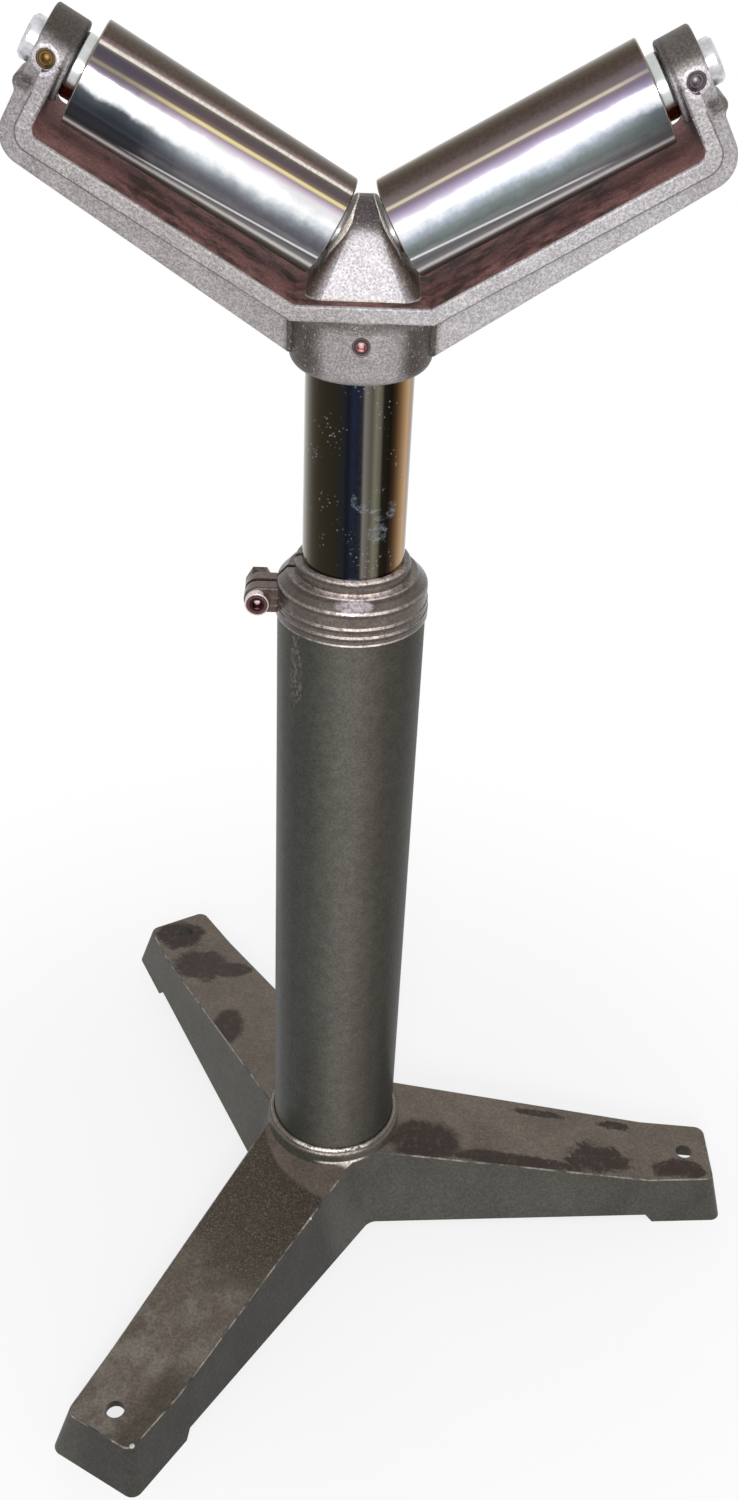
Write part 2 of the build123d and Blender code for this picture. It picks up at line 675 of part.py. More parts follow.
# Rollers: a tube on two ball bearings, each held by a clip in the tube and one on the axle
bearing_places = [ROLLER_IN + BEARING_RECESS, ROLLER_OUT - BEARING_RECESS - BEARING_WIDTH]
housing_clip_places = [
    bearing_places[0] - FACE_GAP - HOUSING_CLIP_THICK,
    bearing_places[1] + BEARING_WIDTH + FACE_GAP,
]
axle_clip_places = [
    bearing_places[0] - FACE_GAP - AXLE_CLIP_THICK,
    bearing_places[1] + BEARING_WIDTH + FACE_GAP,
]
seat_r = BEARING_R + FIT_GAP
seat_length = BEARING_RECESS + BEARING_WIDTH
housing_clip_r = BEARING_R + HOUSING_CLIP_SEAT
axle_clip_r = AXLE_R - AXLE_CLIP_SEAT
ball_places = [place + BEARING_WIDTH / 2 for place in bearing_places]

for name, side in SIDES.items():
    with BuildPart() as axle:
        with BuildSketch(arm_plane(side, AXLE_TIP)):
            Circle(AXLE_R)
        extrude(amount=AXLE_END - AXLE_TIP)
        chamfer(axle.edges().filter_by(GeomType.CIRCLE), AXLE_CHAMFER)
        for place in axle_clip_places:
            groove = sleeve(
                arm_plane(side, place - FIT_GAP),
                AXLE_R + OVERRUN,
                axle_clip_r - FIT_GAP,
                AXLE_CLIP_THICK + 2 * FIT_GAP,
            )
            add(groove, mode=Mode.SUBTRACT)
    axle.part.label = f"{name}_axle"
    export_step(axle.part, f"parts/{name}_axle.step")

    with BuildPart() as axle_set_screw:
        grub_x, grub_z = arm_point(GRUB_PLACE, 0, side)
        add(grub_screw(front_plane(grub_x, -AXLE_R - FIT_GAP, grub_z)))
    axle_set_screw.part.label = f"{name}_axle_set_screw"
    export_step(axle_set_screw.part, f"parts/{name}_axle_set_screw.step")

    with BuildPart() as axle_clips:
        for place in axle_clip_places:
            add(
                open_clip(
                    arm_plane(side, place),
                    axle_clip_r + AXLE_CLIP_RADIAL,
                    axle_clip_r,
                    AXLE_CLIP_THICK,
                    AXLE_CLIP_OPENING,
                )
            )
    axle_clips.part.label = f"{name}_axle_clips"
    export_step(axle_clips.part, f"parts/{name}_axle_clips.step")

    with BuildPart() as roller_tube:
        add(sleeve(arm_plane(side, ROLLER_IN), ROLLER_R, ROLLER_R - ROLLER_WALL, ROLLER_OUT - ROLLER_IN))
        rims = roller_tube.edges().filter_by(GeomType.CIRCLE).sort_by(lambda edge: edge.radius)[-2:]
        fillet(rims, ROLLER_EDGE)
        for place in (ROLLER_IN, ROLLER_OUT - seat_length):
            with BuildSketch(arm_plane(side, place)):
                Circle(seat_r)
            extrude(amount=seat_length, mode=Mode.SUBTRACT)
        for place in housing_clip_places:
            with BuildSketch(arm_plane(side, place - FIT_GAP)):
                Circle(housing_clip_r + FIT_GAP)
            extrude(amount=HOUSING_CLIP_THICK + 2 * FIT_GAP, mode=Mode.SUBTRACT)
    roller_tube.part.label = f"{name}_roller_tube"
    export_step(roller_tube.part, f"parts/{name}_roller_tube.step")

    with BuildPart() as roller_clips:
        for place in housing_clip_places:
            add(
                open_clip(
                    arm_plane(side, place),
                    housing_clip_r,
                    housing_clip_r - HOUSING_CLIP_RADIAL,
                    HOUSING_CLIP_THICK,
                    AXLE_CLIP_OPENING,
                )
            )
    roller_clips.part.label = f"{name}_roller_clips"
    export_step(roller_clips.part, f"parts/{name}_roller_clips.step")

    with BuildPart() as inner_rings:
        for place in bearing_places:
            with BuildSketch(axle_section(side, place)):
                with Locations((AXLE_R + FIT_GAP, 0)):
                    Rectangle(INNER_LAND_R - AXLE_R - FIT_GAP, BEARING_WIDTH, align=(Align.MIN, Align.MIN))
                with Locations((BALL_PITCH_R, BEARING_WIDTH / 2)):
                    Circle(BALL_R + BALL_GAP, mode=Mode.SUBTRACT)
            revolve(axis=axle_line(side))
    inner_rings.part.label = f"{name}_bearing_inner_rings"
    export_step(inner_rings.part, f"parts/{name}_bearing_inner_rings.step")

    with BuildPart() as outer_rings:
        for place in bearing_places:
            with BuildSketch(axle_section(side, place)):
                with Locations((OUTER_LAND_R, 0)):
                    Rectangle(BEARING_R - OUTER_LAND_R, BEARING_WIDTH, align=(Align.MIN, Align.MIN))
                with Locations((BALL_PITCH_R, BEARING_WIDTH / 2)):
                    Circle(BALL_R + BALL_GAP, mode=Mode.SUBTRACT)
            revolve(axis=axle_line(side))
    outer_rings.part.label = f"{name}_bearing_outer_rings"
    export_step(outer_rings.part, f"parts/{name}_bearing_outer_rings.step")

    with BuildPart() as bearing_shields:
        for place in bearing_places:
            for inset in (SHIELD_INSET, BEARING_WIDTH - SHIELD_INSET - SHIELD_THICK):
                add(
                    sleeve(
                        arm_plane(side, place + inset),
                        OUTER_LAND_R - FIT_GAP,
                        INNER_LAND_R + SHIELD_GAP,
                        SHIELD_THICK,
                    )
                )
    bearing_shields.part.label = f"{name}_bearing_shields"
    export_step(bearing_shields.part, f"parts/{name}_bearing_shields.step")

    with BuildPart() as bearing_balls:
        for place in ball_places:
            with Locations(arm_plane(side, place)):
                with PolarLocations(BALL_PITCH_R, BALL_COUNT):
                    Sphere(BALL_R)
    bearing_balls.part.label = f"{name}_bearing_balls"
    export_step(bearing_balls.part, f"parts/{name}_bearing_balls.step")

    with BuildPart() as bearing_cages:
        for place in ball_places:
            add(
                sleeve(
                    arm_plane(side, place - CAGE_WIDTH / 2),
                    BALL_PITCH_R + CAGE_HALF_THICK,
                    BALL_PITCH_R - CAGE_HALF_THICK,
                    CAGE_WIDTH,
                )
            )
            with Locations(arm_plane(side, place)):
                with PolarLocations(BALL_PITCH_R, BALL_COUNT):
                    Cylinder(BALL_R + POCKET_GAP, 2 * BALL_R, rotation=(0, 90, 0), mode=Mode.SUBTRACT)
    bearing_cages.part.label = f"{name}_bearing_cages"
    export_step(bearing_cages.part, f"parts/{name}_bearing_cages.step")
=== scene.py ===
"""Looks of the v roller stand: finishes, two sleeves, a weld, the photo's camera and soft light."""
import math

import bpy
from mathutils import Matrix, Vector


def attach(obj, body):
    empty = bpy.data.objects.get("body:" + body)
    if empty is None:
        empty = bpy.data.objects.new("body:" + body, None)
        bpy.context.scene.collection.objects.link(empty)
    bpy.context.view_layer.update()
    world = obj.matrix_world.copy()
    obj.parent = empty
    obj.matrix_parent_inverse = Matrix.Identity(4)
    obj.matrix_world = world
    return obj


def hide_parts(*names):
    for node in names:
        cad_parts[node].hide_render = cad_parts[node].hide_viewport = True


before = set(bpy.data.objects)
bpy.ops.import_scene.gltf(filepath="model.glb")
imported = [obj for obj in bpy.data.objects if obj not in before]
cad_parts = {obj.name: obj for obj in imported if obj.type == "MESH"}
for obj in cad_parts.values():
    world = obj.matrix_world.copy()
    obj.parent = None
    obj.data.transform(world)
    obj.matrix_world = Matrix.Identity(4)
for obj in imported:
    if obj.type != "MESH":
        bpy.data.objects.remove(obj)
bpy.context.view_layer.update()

# Places on the stand, in metres and radians. Each axle rises from the centre line at this height
# and tilt: "along" is the way along it from there, "across" the way square to it.
AXLE_Z = 0.6397
AXLE_TILT = math.radians(30)
ROLLER_R = 0.0235
ROLLER_START, ROLLER_END = 0.0181, 0.1431
POST_R = 0.0266
COLUMN_R = 0.0394
BASE_HUB_TOP = 0.067
FRONT_LEG_TURN = math.radians(240)
SCREW_X, SCREW_Z = -0.0494, 0.458
COLLAR_EDGES = (0.4807, 0.4742, 0.4682, 0.4597, 0.4550, 0.4502)
# The head: its hub, the wedge, and on each arm a floor, a plate with a lug, and a boss
HEAD_HUB_R = 0.0346
HEAD_HUB_HALF = 0.0349
HEAD_HUB_TOP = 0.6165
HEAD_SCREW_Z = 0.605
WEDGE_FACE = 0.015
ARM_FLOOR_Z = 0.6235
ARM_FLOOR_START = (0.01875, -0.02953)
ARM_FLOOR_END = (0.1512, -0.0262)
PLATE_HALF = 0.0349
PLATE_T = 0.0075
LUG_IN, LUG_OUT = 0.1512, 0.158
LUG_CORNER_R = 0.009
BOSS_IN = 0.1488
SET_SCREW_ALONG = 0.1587
SET_SCREW_X = SET_SCREW_ALONG * math.cos(AXLE_TILT)
SET_SCREW_Z = AXLE_Z + SET_SCREW_ALONG * math.sin(AXLE_TILT)
# Keeps the round surfaces' points within the arcsine's range
ROUND_SLACK = 0.00002

# Thumb smears on the post: their middles and half sizes
SMEARS = (
    ((-0.0008, -0.0266, 0.5246), (0.0016, 0.01, 0.0036)),
    ((0.0022, -0.0265, 0.5214), (0.0030, 0.01, 0.0018)),
    ((0.0070, -0.0257, 0.5192), (0.0056, 0.01, 0.0014)),
    ((0.0140, -0.0226, 0.5146), (0.0046, 0.01, 0.0016)),
    ((0.0180, -0.0196, 0.5176), (0.0026, 0.01, 0.0048)),
    ((0.0115, -0.0239, 0.5062), (0.0056, 0.01, 0.0056)),
)
# Stains on the legs' tops: middle, half sizes, raggedness, grain and the noise's shift
STAINS = (
    # The right leg
    ((0.062, -0.018, 0.055), (0.027, 0.020, 0.03), 0.30, 0.020, 0.4),
    ((0.120, -0.0245, 0.046), (0.055, 0.0065, 0.03), 0.5, 0.016, 1.1),
    ((0.180, -0.0145, 0.038), (0.026, 0.0125, 0.03), 0.9, 0.016, 2.2),
    ((0.236, -0.0155, 0.033), (0.020, 0.0085, 0.03), 0.6, 0.014, 3.1),
    ((0.142, 0.0205, 0.043), (0.019, 0.0035, 0.03), 0.6, 0.010, 4.2),
    ((0.197, 0.0190, 0.036), (0.010, 0.0035, 0.03), 0.9, 0.008, 5.0),
    # The back leg: its foot, a broad stain with a finger, and a long drop
    ((-0.126, 0.206, 0.033), (0.022, 0.016, 0.03), 0.5, 0.018, 6.0),
    ((-0.105, 0.170, 0.036), (0.024, 0.021, 0.03), 0.45, 0.020, 6.6),
    ((-0.082, 0.163, 0.038), (0.018, 0.010, 0.03), 0.4, 0.014, 7.7),
    ((-0.0785, 0.0925, 0.047), (0.0125, 0.021, 0.03), 0.3, 0.014, 8.2),
)

# Painted light round a cylinder, in streaks: degrees from the middle of its visible half, and a
# colour
# The column: painted shade towards both sides and a painted highlight down the middle
COLUMN_PAINTED_SHADING = (
    (-90, (86, 86, 82)), (-68, (82, 82, 78)), (-60, (70, 70, 66)), (-45, (64, 65, 61)),
    (-30, (70, 70, 65)), (-18, (82, 81, 75)), (-6, (95, 93, 87)), (8, (98, 95, 88)),
    (18, (86, 83, 76)), (32, (71, 68, 62)), (50, (63, 61, 56)), (75, (58, 57, 54)),
    (90, (60, 58, 56)),
)
# The post: painted reflections
POST_PAINTED_REFLECTIONS = (
    (-90, (118, 116, 108)), (-70, (104, 102, 90)), (-62, (80, 76, 62)), (-54, (58, 52, 38)),
    (-44, (50, 46, 36)), (-20, (43, 41, 35)), (-14, (38, 40, 44)), (-9, (29, 30, 36)),
    (-4, (38, 43, 62)), (1, (36, 40, 54)), (5, (50, 50, 52)), (8, (116, 112, 106)),
    (15, (84, 80, 70)), (20, (114, 112, 96)), (25, (92, 90, 76)), (28, (38, 36, 29)),
    (37, (28, 24, 19)), (43, (58, 42, 28)), (49, (100, 74, 46)), (57, (150, 116, 78)),
    (64, (176, 140, 96)), (70, (140, 106, 76)), (75, (112, 86, 66)), (90, (104, 84, 66)),
)
# The rollers: painted reflections that run along them
LEFT_ROLLER_PAINTED_REFLECTIONS = (
    (-90, (88, 88, 80)), (-78, (100, 102, 92)), (-69, (104, 108, 98)), (-64, (150, 152, 144)),
    (-61, (250, 250, 248)), (-58, (255, 255, 255)), (-54, (142, 142, 142)),
    (-47, (104, 106, 106)), (-40, (122, 122, 124)), (-34, (92, 90, 98)), (-28, (104, 104, 110)),
    (-22, (132, 136, 142)), (-16, (176, 184, 190)), (-11, (224, 228, 232)),
    (-6, (252, 252, 253)), (8, (252, 250, 254)), (12, (226, 208, 226)), (16.5, (170, 154, 160)),
    (18.4, (255, 236, 176)), (20.4, (255, 240, 184)), (22.2, (142, 122, 106)),
    (27, (104, 92, 98)), (33, (104, 94, 96)), (37, (124, 116, 104)), (38.5, (255, 250, 240)),
    (41, (255, 242, 232)), (43.5, (156, 138, 134)), (47, (126, 108, 104)), (50, (98, 84, 78)),
    (62, (92, 82, 70)), (90, (98, 86, 78)),
)
RIGHT_ROLLER_PAINTED_REFLECTIONS = (
    (-90, (66, 60, 58)), (-74, (82, 80, 76)), (-68, (102, 104, 100)), (-64, (150, 152, 148)),
    (-61, (250, 250, 248)), (-58, (255, 255, 255)), (-54, (148, 146, 150)),
    (-47, (112, 114, 114)), (-38, (130, 132, 134)), (-32, (104, 112, 112)),
    (-23, (130, 138, 138)), (-16, (172, 182, 192)), (-11, (218, 224, 234)),
    (-5, (253, 253, 253)), (4, (252, 250, 254)), (9, (218, 206, 232)), (13, (184, 168, 196)),
    (17, (150, 134, 152)), (20.4, (150, 136, 142)), (22, (236, 222, 196)), (24, (232, 218, 194)),
    (25.8, (142, 128, 126)), (33, (124, 110, 110)), (40, (96, 84, 80)), (52, (84, 70, 62)),
    (64, (86, 74, 58)), (76, (108, 94, 76)), (90, (112, 98, 82)),
)
# Each roller: its side, its streaks of painted reflection, how far they drift along it, where its
# painted highlight line starts and how fast that falls, and where the lower and the upper half take
# darker painted reflections towards the outer end, and to what colour
ROLLERS = {
    "left": {
        "side": -1,
        "streaks": LEFT_ROLLER_PAINTED_REFLECTIONS,
        "drift": 0.44,
        "highlight_line": (-40.0, 170.0),
        "low_outer_reflection": ((0.080, 0.118), (36, 42, 50)),
        "high_outer_reflection": ((0.085, 0.130), (88, 84, 100)),
    },
    "right": {
        "side": 1,
        "streaks": RIGHT_ROLLER_PAINTED_REFLECTIONS,
        "drift": 0.10,
        "highlight_line": (-38.0, 130.0),
        "low_outer_reflection": ((0.105, 0.15), (78, 82, 84)),
        "high_outer_reflection": ((0.112, 0.155), (120, 112, 136)),
    },
}
# Screws that show their ends to the front: material, node, middle, and rings of colour at these
# distances in millimetres, which paint highlights on the rims and centres and shade in the sockets
SCREWS = (
    (
        "clamp_screw_steel", "clamp_screw", (SCREW_X, SCREW_Z),
        (
            (0.0, (255, 246, 246)), (1.0, (250, 236, 236)), (1.7, (70, 44, 46)),
            (3.6, (58, 36, 38)), (4.6, (112, 84, 82)), (5.5, (90, 66, 66)),
            (5.9, (226, 216, 218)), (6.6, (206, 196, 198)),
        ),
    ),
    (
        "left_set_screw_brass", "left_axle_set_screw", (-SET_SCREW_X, SET_SCREW_Z),
        (
            (0.0, (206, 172, 120)), (0.8, (160, 126, 80)), (1.6, (80, 60, 38)),
            (2.6, (128, 102, 64)), (3.2, (58, 46, 32)), (3.6, (120, 108, 84)),
            (4.0, (60, 50, 44)),
        ),
    ),
    (
        "right_set_screw_steel", "right_axle_set_screw", (SET_SCREW_X, SET_SCREW_Z),
        (
            (0.0, (240, 236, 236)), (0.7, (160, 154, 156)), (1.5, (88, 82, 86)),
            (2.6, (116, 108, 112)), (3.2, (54, 48, 52)), (3.6, (120, 114, 118)),
            (4.0, (56, 48, 50)),
        ),
    ),
    (
        "hub_set_screw_steel", "post_set_screw", (0.0, HEAD_SCREW_Z),
        (
            (0.0, (255, 244, 240)), (1.0, (220, 190, 186)), (1.8, (150, 114, 114)),
            (2.6, (104, 74, 76)), (3.2, (58, 44, 46)), (3.6, (120, 110, 110)),
            (4.0, (66, 54, 54)),
        ),
    ),
)
# Other small metal: material, its light and its dark colour, roughness and the nodes' names
SIDES = ("left", "right")
METALS = (
    ("zinc_plate", (220, 219, 224), (186, 185, 190), 0.3, [f"{side}_axle" for side in SIDES]),
    ("nut_black", (92, 78, 66), (52, 42, 34), 0.36, ["clamp_nut"]),
    (
        "bearing_steel", (200, 200, 202), (170, 170, 172), 0.22,
        [
            f"{side}_bearing_{piece}"
            for side in SIDES for piece in ("inner_rings", "outer_rings", "balls")
        ],
    ),
    (
        "pressed_steel", (120, 112, 104), (84, 76, 70), 0.35,
        [f"{side}_bearing_{piece}" for side in SIDES for piece in ("shields", "cages")],
    ),
    (
        "spring_steel", (70, 64, 60), (40, 36, 34), 0.4,
        ["post_clips", *(f"{side}_{on}_clips" for side in SIDES for on in ("axle", "roller"))],
    ),
    ("guide_iron", (120, 120, 120), (84, 84, 84), 0.45, ["post_guide_ring"]),
)
# The section of the weld bead (radius, height over the hub) and its number of steps round
BEAD_SECTION = (
    (0.03945, 0.0), (0.0420, 0.0), (0.0421, 0.0011), (0.0416, 0.0021), (0.0406, 0.0027),
    (0.03945, 0.003),
)
BEAD_STEPS = 264
# Area lamps: name, place, size and power
LAMPS = (
    ("key", (-0.05, -1.35, 1.04), 0.32, 10.5),
    ("fill", (1.3, -1.0, 1.2), 1.2, 3.5),
    ("back", (0.2, 1.5, 1.5), 1.2, 6.0),
)
LAMPS_AIM = (0, 0, 0.4)
STAGE_SIZE = 40


def tone(red, green, blue):
    """A colour from 0 to 255 values, as a paint chart gives them."""
    return tuple((value / 255) ** 2.2 for value in (red, green, blue))


# Node maths ---------------------------------------------------------------------------------
class Signal:
    """A socket of a tree's nodes; sums on it add Math nodes."""

    def __init__(self, sheet, socket):
        self.sheet = sheet
        self.socket = socket

    def math(self, operation, *others):
        """This signal and others, joined by a Math node."""
        values = dict(enumerate((self, *others)))
        return self.sheet.node("ShaderNodeMath", {"operation": operation}, values)

    def __add__(self, other):
        return self.math("ADD", other)

    __radd__ = __add__

    def __mul__(self, other):
        return self.math("MULTIPLY", other)

    __rmul__ = __mul__

    def __sub__(self, other):
        return self.math("SUBTRACT", other)

    def __rsub__(self, other):
        return self.sheet.node("ShaderNodeMath", {"operation": "SUBTRACT"}, {0: other, 1: self})

    def __truediv__(self, other):
        return self.math("DIVIDE", other)

    def __abs__(self):
        return self.math("ABSOLUTE")


class Sheet:
    """A node tree, and the one way in which nodes are added to it."""

    def __init__(self, tree):
        self.tree = tree

    def node(self, kind, settings=None, values=None, output=0):
        """Adds a node with its settings, then the values or links of its sockets."""
        node = self.tree.nodes.new(kind)
        for key, setting in (settings or {}).items():
            if key == "stops":
                elements = node.color_ramp.elements
                while len(elements) < len(setting):
                    elements.new(1.0)
                for element, (at, colour) in zip(elements, setting):
                    element.position = at
                    element.color = (*colour, 1.0)
            else:
                setattr(node, key, setting)
        for key, value in (values or {}).items():
            if isinstance(value, Signal):
                self.tree.links.new(value.socket, node.inputs[key])
            else:
                node.inputs[key].default_value = value
        return Signal(self, node.outputs[output])


class Finish(Sheet):
    """One material and its shader."""

    def __init__(self, name, **uniform):
        self.material = bpy.data.materials.new(name)
        self.material.use_nodes = True
        super().__init__(self.material.node_tree)
        self.shader = self.tree.nodes["Principled BSDF"]
        for key, value in uniform.items():
            self.shader.inputs[key.replace("_", " ")].default_value = value
        self.place = self.node("ShaderNodeTexCoord", output="Object")
        self.x, self.y, self.z = (self.coordinate(self.place, axis) for axis in "XYZ")

    def coordinate(self, vector, axis):
        """One coordinate of a vector."""
        return self.node("ShaderNodeSeparateXYZ", values={0: vector}, output=axis)

    def facing_up(self):
        """1 where the surface faces up, 0 where it stands upright."""
        return self.coordinate(self.node("ShaderNodeTexCoord", output="Normal"), "Z")

    def moved(self, stretch=(1.0, 1.0, 1.0), shift=0.0):
        """The place, stretched and moved, for a pattern of its own."""
        values = {"Vector": self.place, "Scale": stretch, "Location": (shift, shift, shift)}
        return self.node("ShaderNodeMapping", values=values)

    def noise(self, size, detail, roughness, stretch=(1.0, 1.0, 1.0), shift=0.0):
        """Cloudy noise from 0 to 1 whose patches are about this many metres across."""
        values = {
            "Vector": self.moved(stretch, shift),
            "Scale": 1.0 / size,
            "Detail": detail,
            "Roughness": roughness,
        }
        return self.node("ShaderNodeTexNoise", values=values)

    def cells(self, size, feature="SMOOTH_F1", shift=0.0):
        """Distance to the nearest of scattered points, spaced about this many metres."""
        values = {"Vector": self.moved(shift=shift), "Scale": 1.0 / size}
        return self.node("ShaderNodeTexVoronoi", {"feature": feature}, values)

    def ramp(self, value, low, high, start=0.0, end=1.0):
        """A smooth step: start below low, end above high."""
        return self.node(
            "ShaderNodeMapRange",
            {"interpolation_type": "SMOOTHSTEP"},
            {"Value": value, "From Min": low, "From Max": high, "To Min": start, "To Max": end},
        )

    def fade(self, value, low, high):
        """A smooth step down: 1 below low, 0 above high."""
        return self.ramp(value, low, high, 1.0, 0.0)

    def line(self, value, at, half, soft):
        """A narrow band: 1 where the value is within half of at, fading to 0 over soft."""
        return self.fade(abs(value - at), half, half + soft)

    def bands(self, value, stops):
        """A colour for each value from 0 to 1."""
        return self.node("ShaderNodeValToRGB", {"stops": stops}, {"Fac": value})

    def mix(self, share, first, second):
        """A colour between two colours, which are the node's sockets 6 and 7."""
        values = {"Factor": share}
        for socket, colour in ((6, first), (7, second)):
            values[socket] = colour if isinstance(colour, Signal) else (*colour, 1.0)
        return self.node("ShaderNodeMix", {"data_type": "RGBA"}, values, output=2)

    def dimmed(self, colour, factor):
        """A colour times a number that varies."""
        values = {0: colour, "Scale": factor}
        return self.node("ShaderNodeVectorMath", {"operation": "SCALE"}, values)

    def spot(self, centre, radius, ragged, grain, shift=0.0):
        """A ragged patch round a point: 1 inside, 0 outside."""
        kind = "ShaderNodeVectorMath"
        away = self.node(kind, {"operation": "SUBTRACT"}, {0: self.place, 1: centre})
        away = self.node(kind, {"operation": "DIVIDE"}, {0: away, 1: radius})
        reach = self.node(kind, {"operation": "LENGTH"}, {0: away}, output="Value")
        wander = (self.noise(grain, 6.0, 0.75, shift=shift) - 0.5) * (3.2 * ragged)
        return self.fade(reach + wander, 0.75, 1.10)

    def bump(self, height, distance):
        """Feeds a height, in the given metres, to the shader's normal."""
        values = {"Height": height, "Distance": distance, "Strength": 1.0}
        self.link("Normal", self.node("ShaderNodeBump", values=values))

    def link(self, name, signal):
        """Feeds a signal to one of the shader's sockets."""
        self.tree.links.new(signal.socket, self.shader.inputs[name])


def largest(signals):
    """The largest of several signals, as a union of masks."""
    first, *others = signals
    for other in others:
        first = first.math("MAXIMUM", other)
    return first


def diagonal(first, second):
    """The distance that two lengths square to each other make."""
    return (first * first + second * second).math("SQRT")


def round_share(offset, radius):
    """An angle round a cylinder, from the way off its axis, as a share of half a turn."""
    sine = (offset / (radius + ROUND_SLACK)).math("MAXIMUM", -1.0).math("MINIMUM", 1.0)
    return sine.math("ARCSINE") / math.pi + 0.5


def at_angles(streaks):
    """Stops for streaks of painted light that are given in degrees from the middle of the visible
    half.
    """
    return [(angle / 180 + 0.5, tone(*colour)) for angle, colour in streaks]


def dress(finish, *nodes):
    """Gives CAD nodes this finish."""
    for name in nodes:
        slots = bpy.data.objects[name].data.materials
        slots.clear()
        slots.append(finish.material)


# Painted castings ---------------------------------------------------------------------------
def hammered(finish, colour, cell, contrast, depth, roughness):
    """Hammered enamel over a colour: small pits with lighter grains between them."""
    pits = finish.cells(cell)
    grains = finish.noise(cell * 0.7, 3.0, 0.65, shift=3.0)
    cloud = finish.noise(cell * 14, 2.0, 0.5, shift=7.0)
    pattern = finish.ramp(pits * 0.6 + grains * 0.9, 0.42, 0.98)
    shade = (pattern - 0.5) * (2 * contrast) + (cloud - 0.5) * contrast + 1.0
    finish.link("Base Color", finish.dimmed(colour, shade))
    finish.link("Roughness", finish.ramp(grains, 0.3, 0.75, roughness - 0.08, roughness + 0.1))
    finish.bump(pits + grains * 0.5, depth)


class Arm:
    """Where a point lies on the nearer arm of the head."""

    def __init__(self, finish):
        # Along and square to the axle, over the sloping floor, and between the plate's edges
        reach = abs(finish.x)
        height = finish.z - AXLE_Z
        self.along = reach * math.cos(AXLE_TILT) + height * math.sin(AXLE_TILT)
        self.across = height * math.cos(AXLE_TILT) - reach * math.sin(AXLE_TILT)
        slope = (ARM_FLOOR_END[1] - ARM_FLOOR_START[1]) / (ARM_FLOOR_END[0] - ARM_FLOOR_START[0])
        floor_across = (self.along - ARM_FLOOR_START[0]) * slope + ARM_FLOOR_START[1]
        self.above_floor = self.across - floor_across
        self.inside = finish.fade(abs(finish.y), PLATE_HALF - 0.0018, PLATE_HALF - 0.0008)


def shadow_lined_plate(finish, arm, colour):
    """A thin dark line of painted shadow round the outside of the plate and the lug."""
    over = (arm.along - (LUG_OUT - LUG_CORNER_R)).math("MAXIMUM", 0.0)
    below = (arm.above_floor * -1.0 - (PLATE_T - LUG_CORNER_R)).math("MAXIMUM", 0.0)
    shadow_line = finish.line(diagonal(over, below), LUG_CORNER_R, 0.0004, 0.0007)
    shadow_line = shadow_line * finish.ramp(arm.across, -0.008, -0.012)
    return finish.mix(shadow_line * 0.75, colour, tone(70, 62, 60))


def shaded_hub(finish, colour, mottle):
    """The head's hub: painted shade towards both sides, at its top under the plate and at the ribs'
    feet, with a smudge under its screw.
    """
    ramp, fade, mix = finish.ramp, finish.fade, finish.mix
    aside = abs(finish.x)
    # Painted shade towards both sides of the hub, and under the plate at its top
    hub_tone = mix(ramp(aside + mottle, 0.014, 0.025), tone(151, 147, 146), tone(74, 66, 61))
    hub_tone = mix(ramp(finish.z + mottle * 0.5, 0.6085, 0.6145), hub_tone, tone(104, 98, 94))
    under_screw = (0.0015, -HEAD_HUB_R, 0.5984)
    smudge = finish.spot(under_screw, (0.003, 0.02, 0.0012), ragged=0.5, grain=0.003)
    hub_tone = mix(smudge * 0.4, hub_tone, tone(110, 92, 80))
    below_top = fade(finish.z, HEAD_HUB_TOP - 0.001, HEAD_HUB_TOP)
    hub = below_top * fade(aside, HEAD_HUB_HALF, HEAD_HUB_HALF + 0.0006)
    colour = mix(hub, colour, hub_tone)
    # Painted shade where the ribs meet the hub
    rib_foot = fade(aside, HEAD_HUB_HALF, 0.038) * fade(finish.z, 0.612, 0.616)
    return mix(rib_foot * ramp(aside, 0.030, 0.034) * 0.5, colour, tone(92, 86, 80))


def cut_wedge(finish, arm, colour):
    """The wedge: pale front, painted shade on its top and at its foot corners, a painted highlight
    along its foot, and machined sides and edges whose shine is painted bright.
    """
    ramp, fade, mix = finish.ramp, finish.fade, finish.mix
    on_wedge = ramp(finish.z, ARM_FLOOR_Z + 0.0004, ARM_FLOOR_Z + 0.001)
    on_wedge = on_wedge * fade(arm.along, WEDGE_FACE + 0.0006, WEDGE_FACE + 0.0010)
    half_width = (WEDGE_FACE - (finish.z - AXLE_Z) * math.sin(AXLE_TILT)) / math.cos(AXLE_TILT)
    to_side = half_width - abs(finish.x)
    ragged = (finish.noise(0.003, 4.0, 0.7, shift=2.5) - 0.5) * 0.004
    # Painted shade towards the wedge's sides and on its rounded top
    pale = mix(ramp(to_side + ragged, 0.001, 0.0085), tone(98, 84, 77), tone(180, 176, 180))
    pale = mix(ramp(finish.z + ragged * 1.5, 0.6475, 0.6560), pale, tone(84, 76, 76))
    # A painted highlight along the wedge's foot
    foot_line = finish.line(finish.z, ARM_FLOOR_Z + 0.0006, 0.0004, 0.0006)
    pale = mix(foot_line * ramp(to_side, 0.004, 0.010), pale, tone(190, 184, 168))

    # The machined sides and strips beside them: bare metal, with its reflection painted as bright
    # cream
    cut = finish.line(arm.along, WEDGE_FACE, 0.00025, 0.0002)
    swelling = ramp(finish.z, 0.638, 0.652) * ramp(finish.z, 0.654, 0.662, 1.0, 0.3)
    rim_width = ramp(finish.x, -0.001, 0.001, 0.0026, 0.0014) * swelling
    shining = fade(to_side - rim_width, -0.0004, 0.0) * ramp(finish.z, 0.637, 0.641)
    scrapes = finish.noise(0.002, 3.0, 0.6, (1.0, 1.0, 0.25))
    bright = mix(ramp(scrapes, 0.3, 0.5), tone(236, 206, 176), tone(255, 250, 240))
    machined_shine = largest([cut * ramp(finish.z, 0.636, 0.646), shining]) * on_wedge
    return mix(on_wedge, colour, mix(machined_shine, pale, bright)), machined_shine


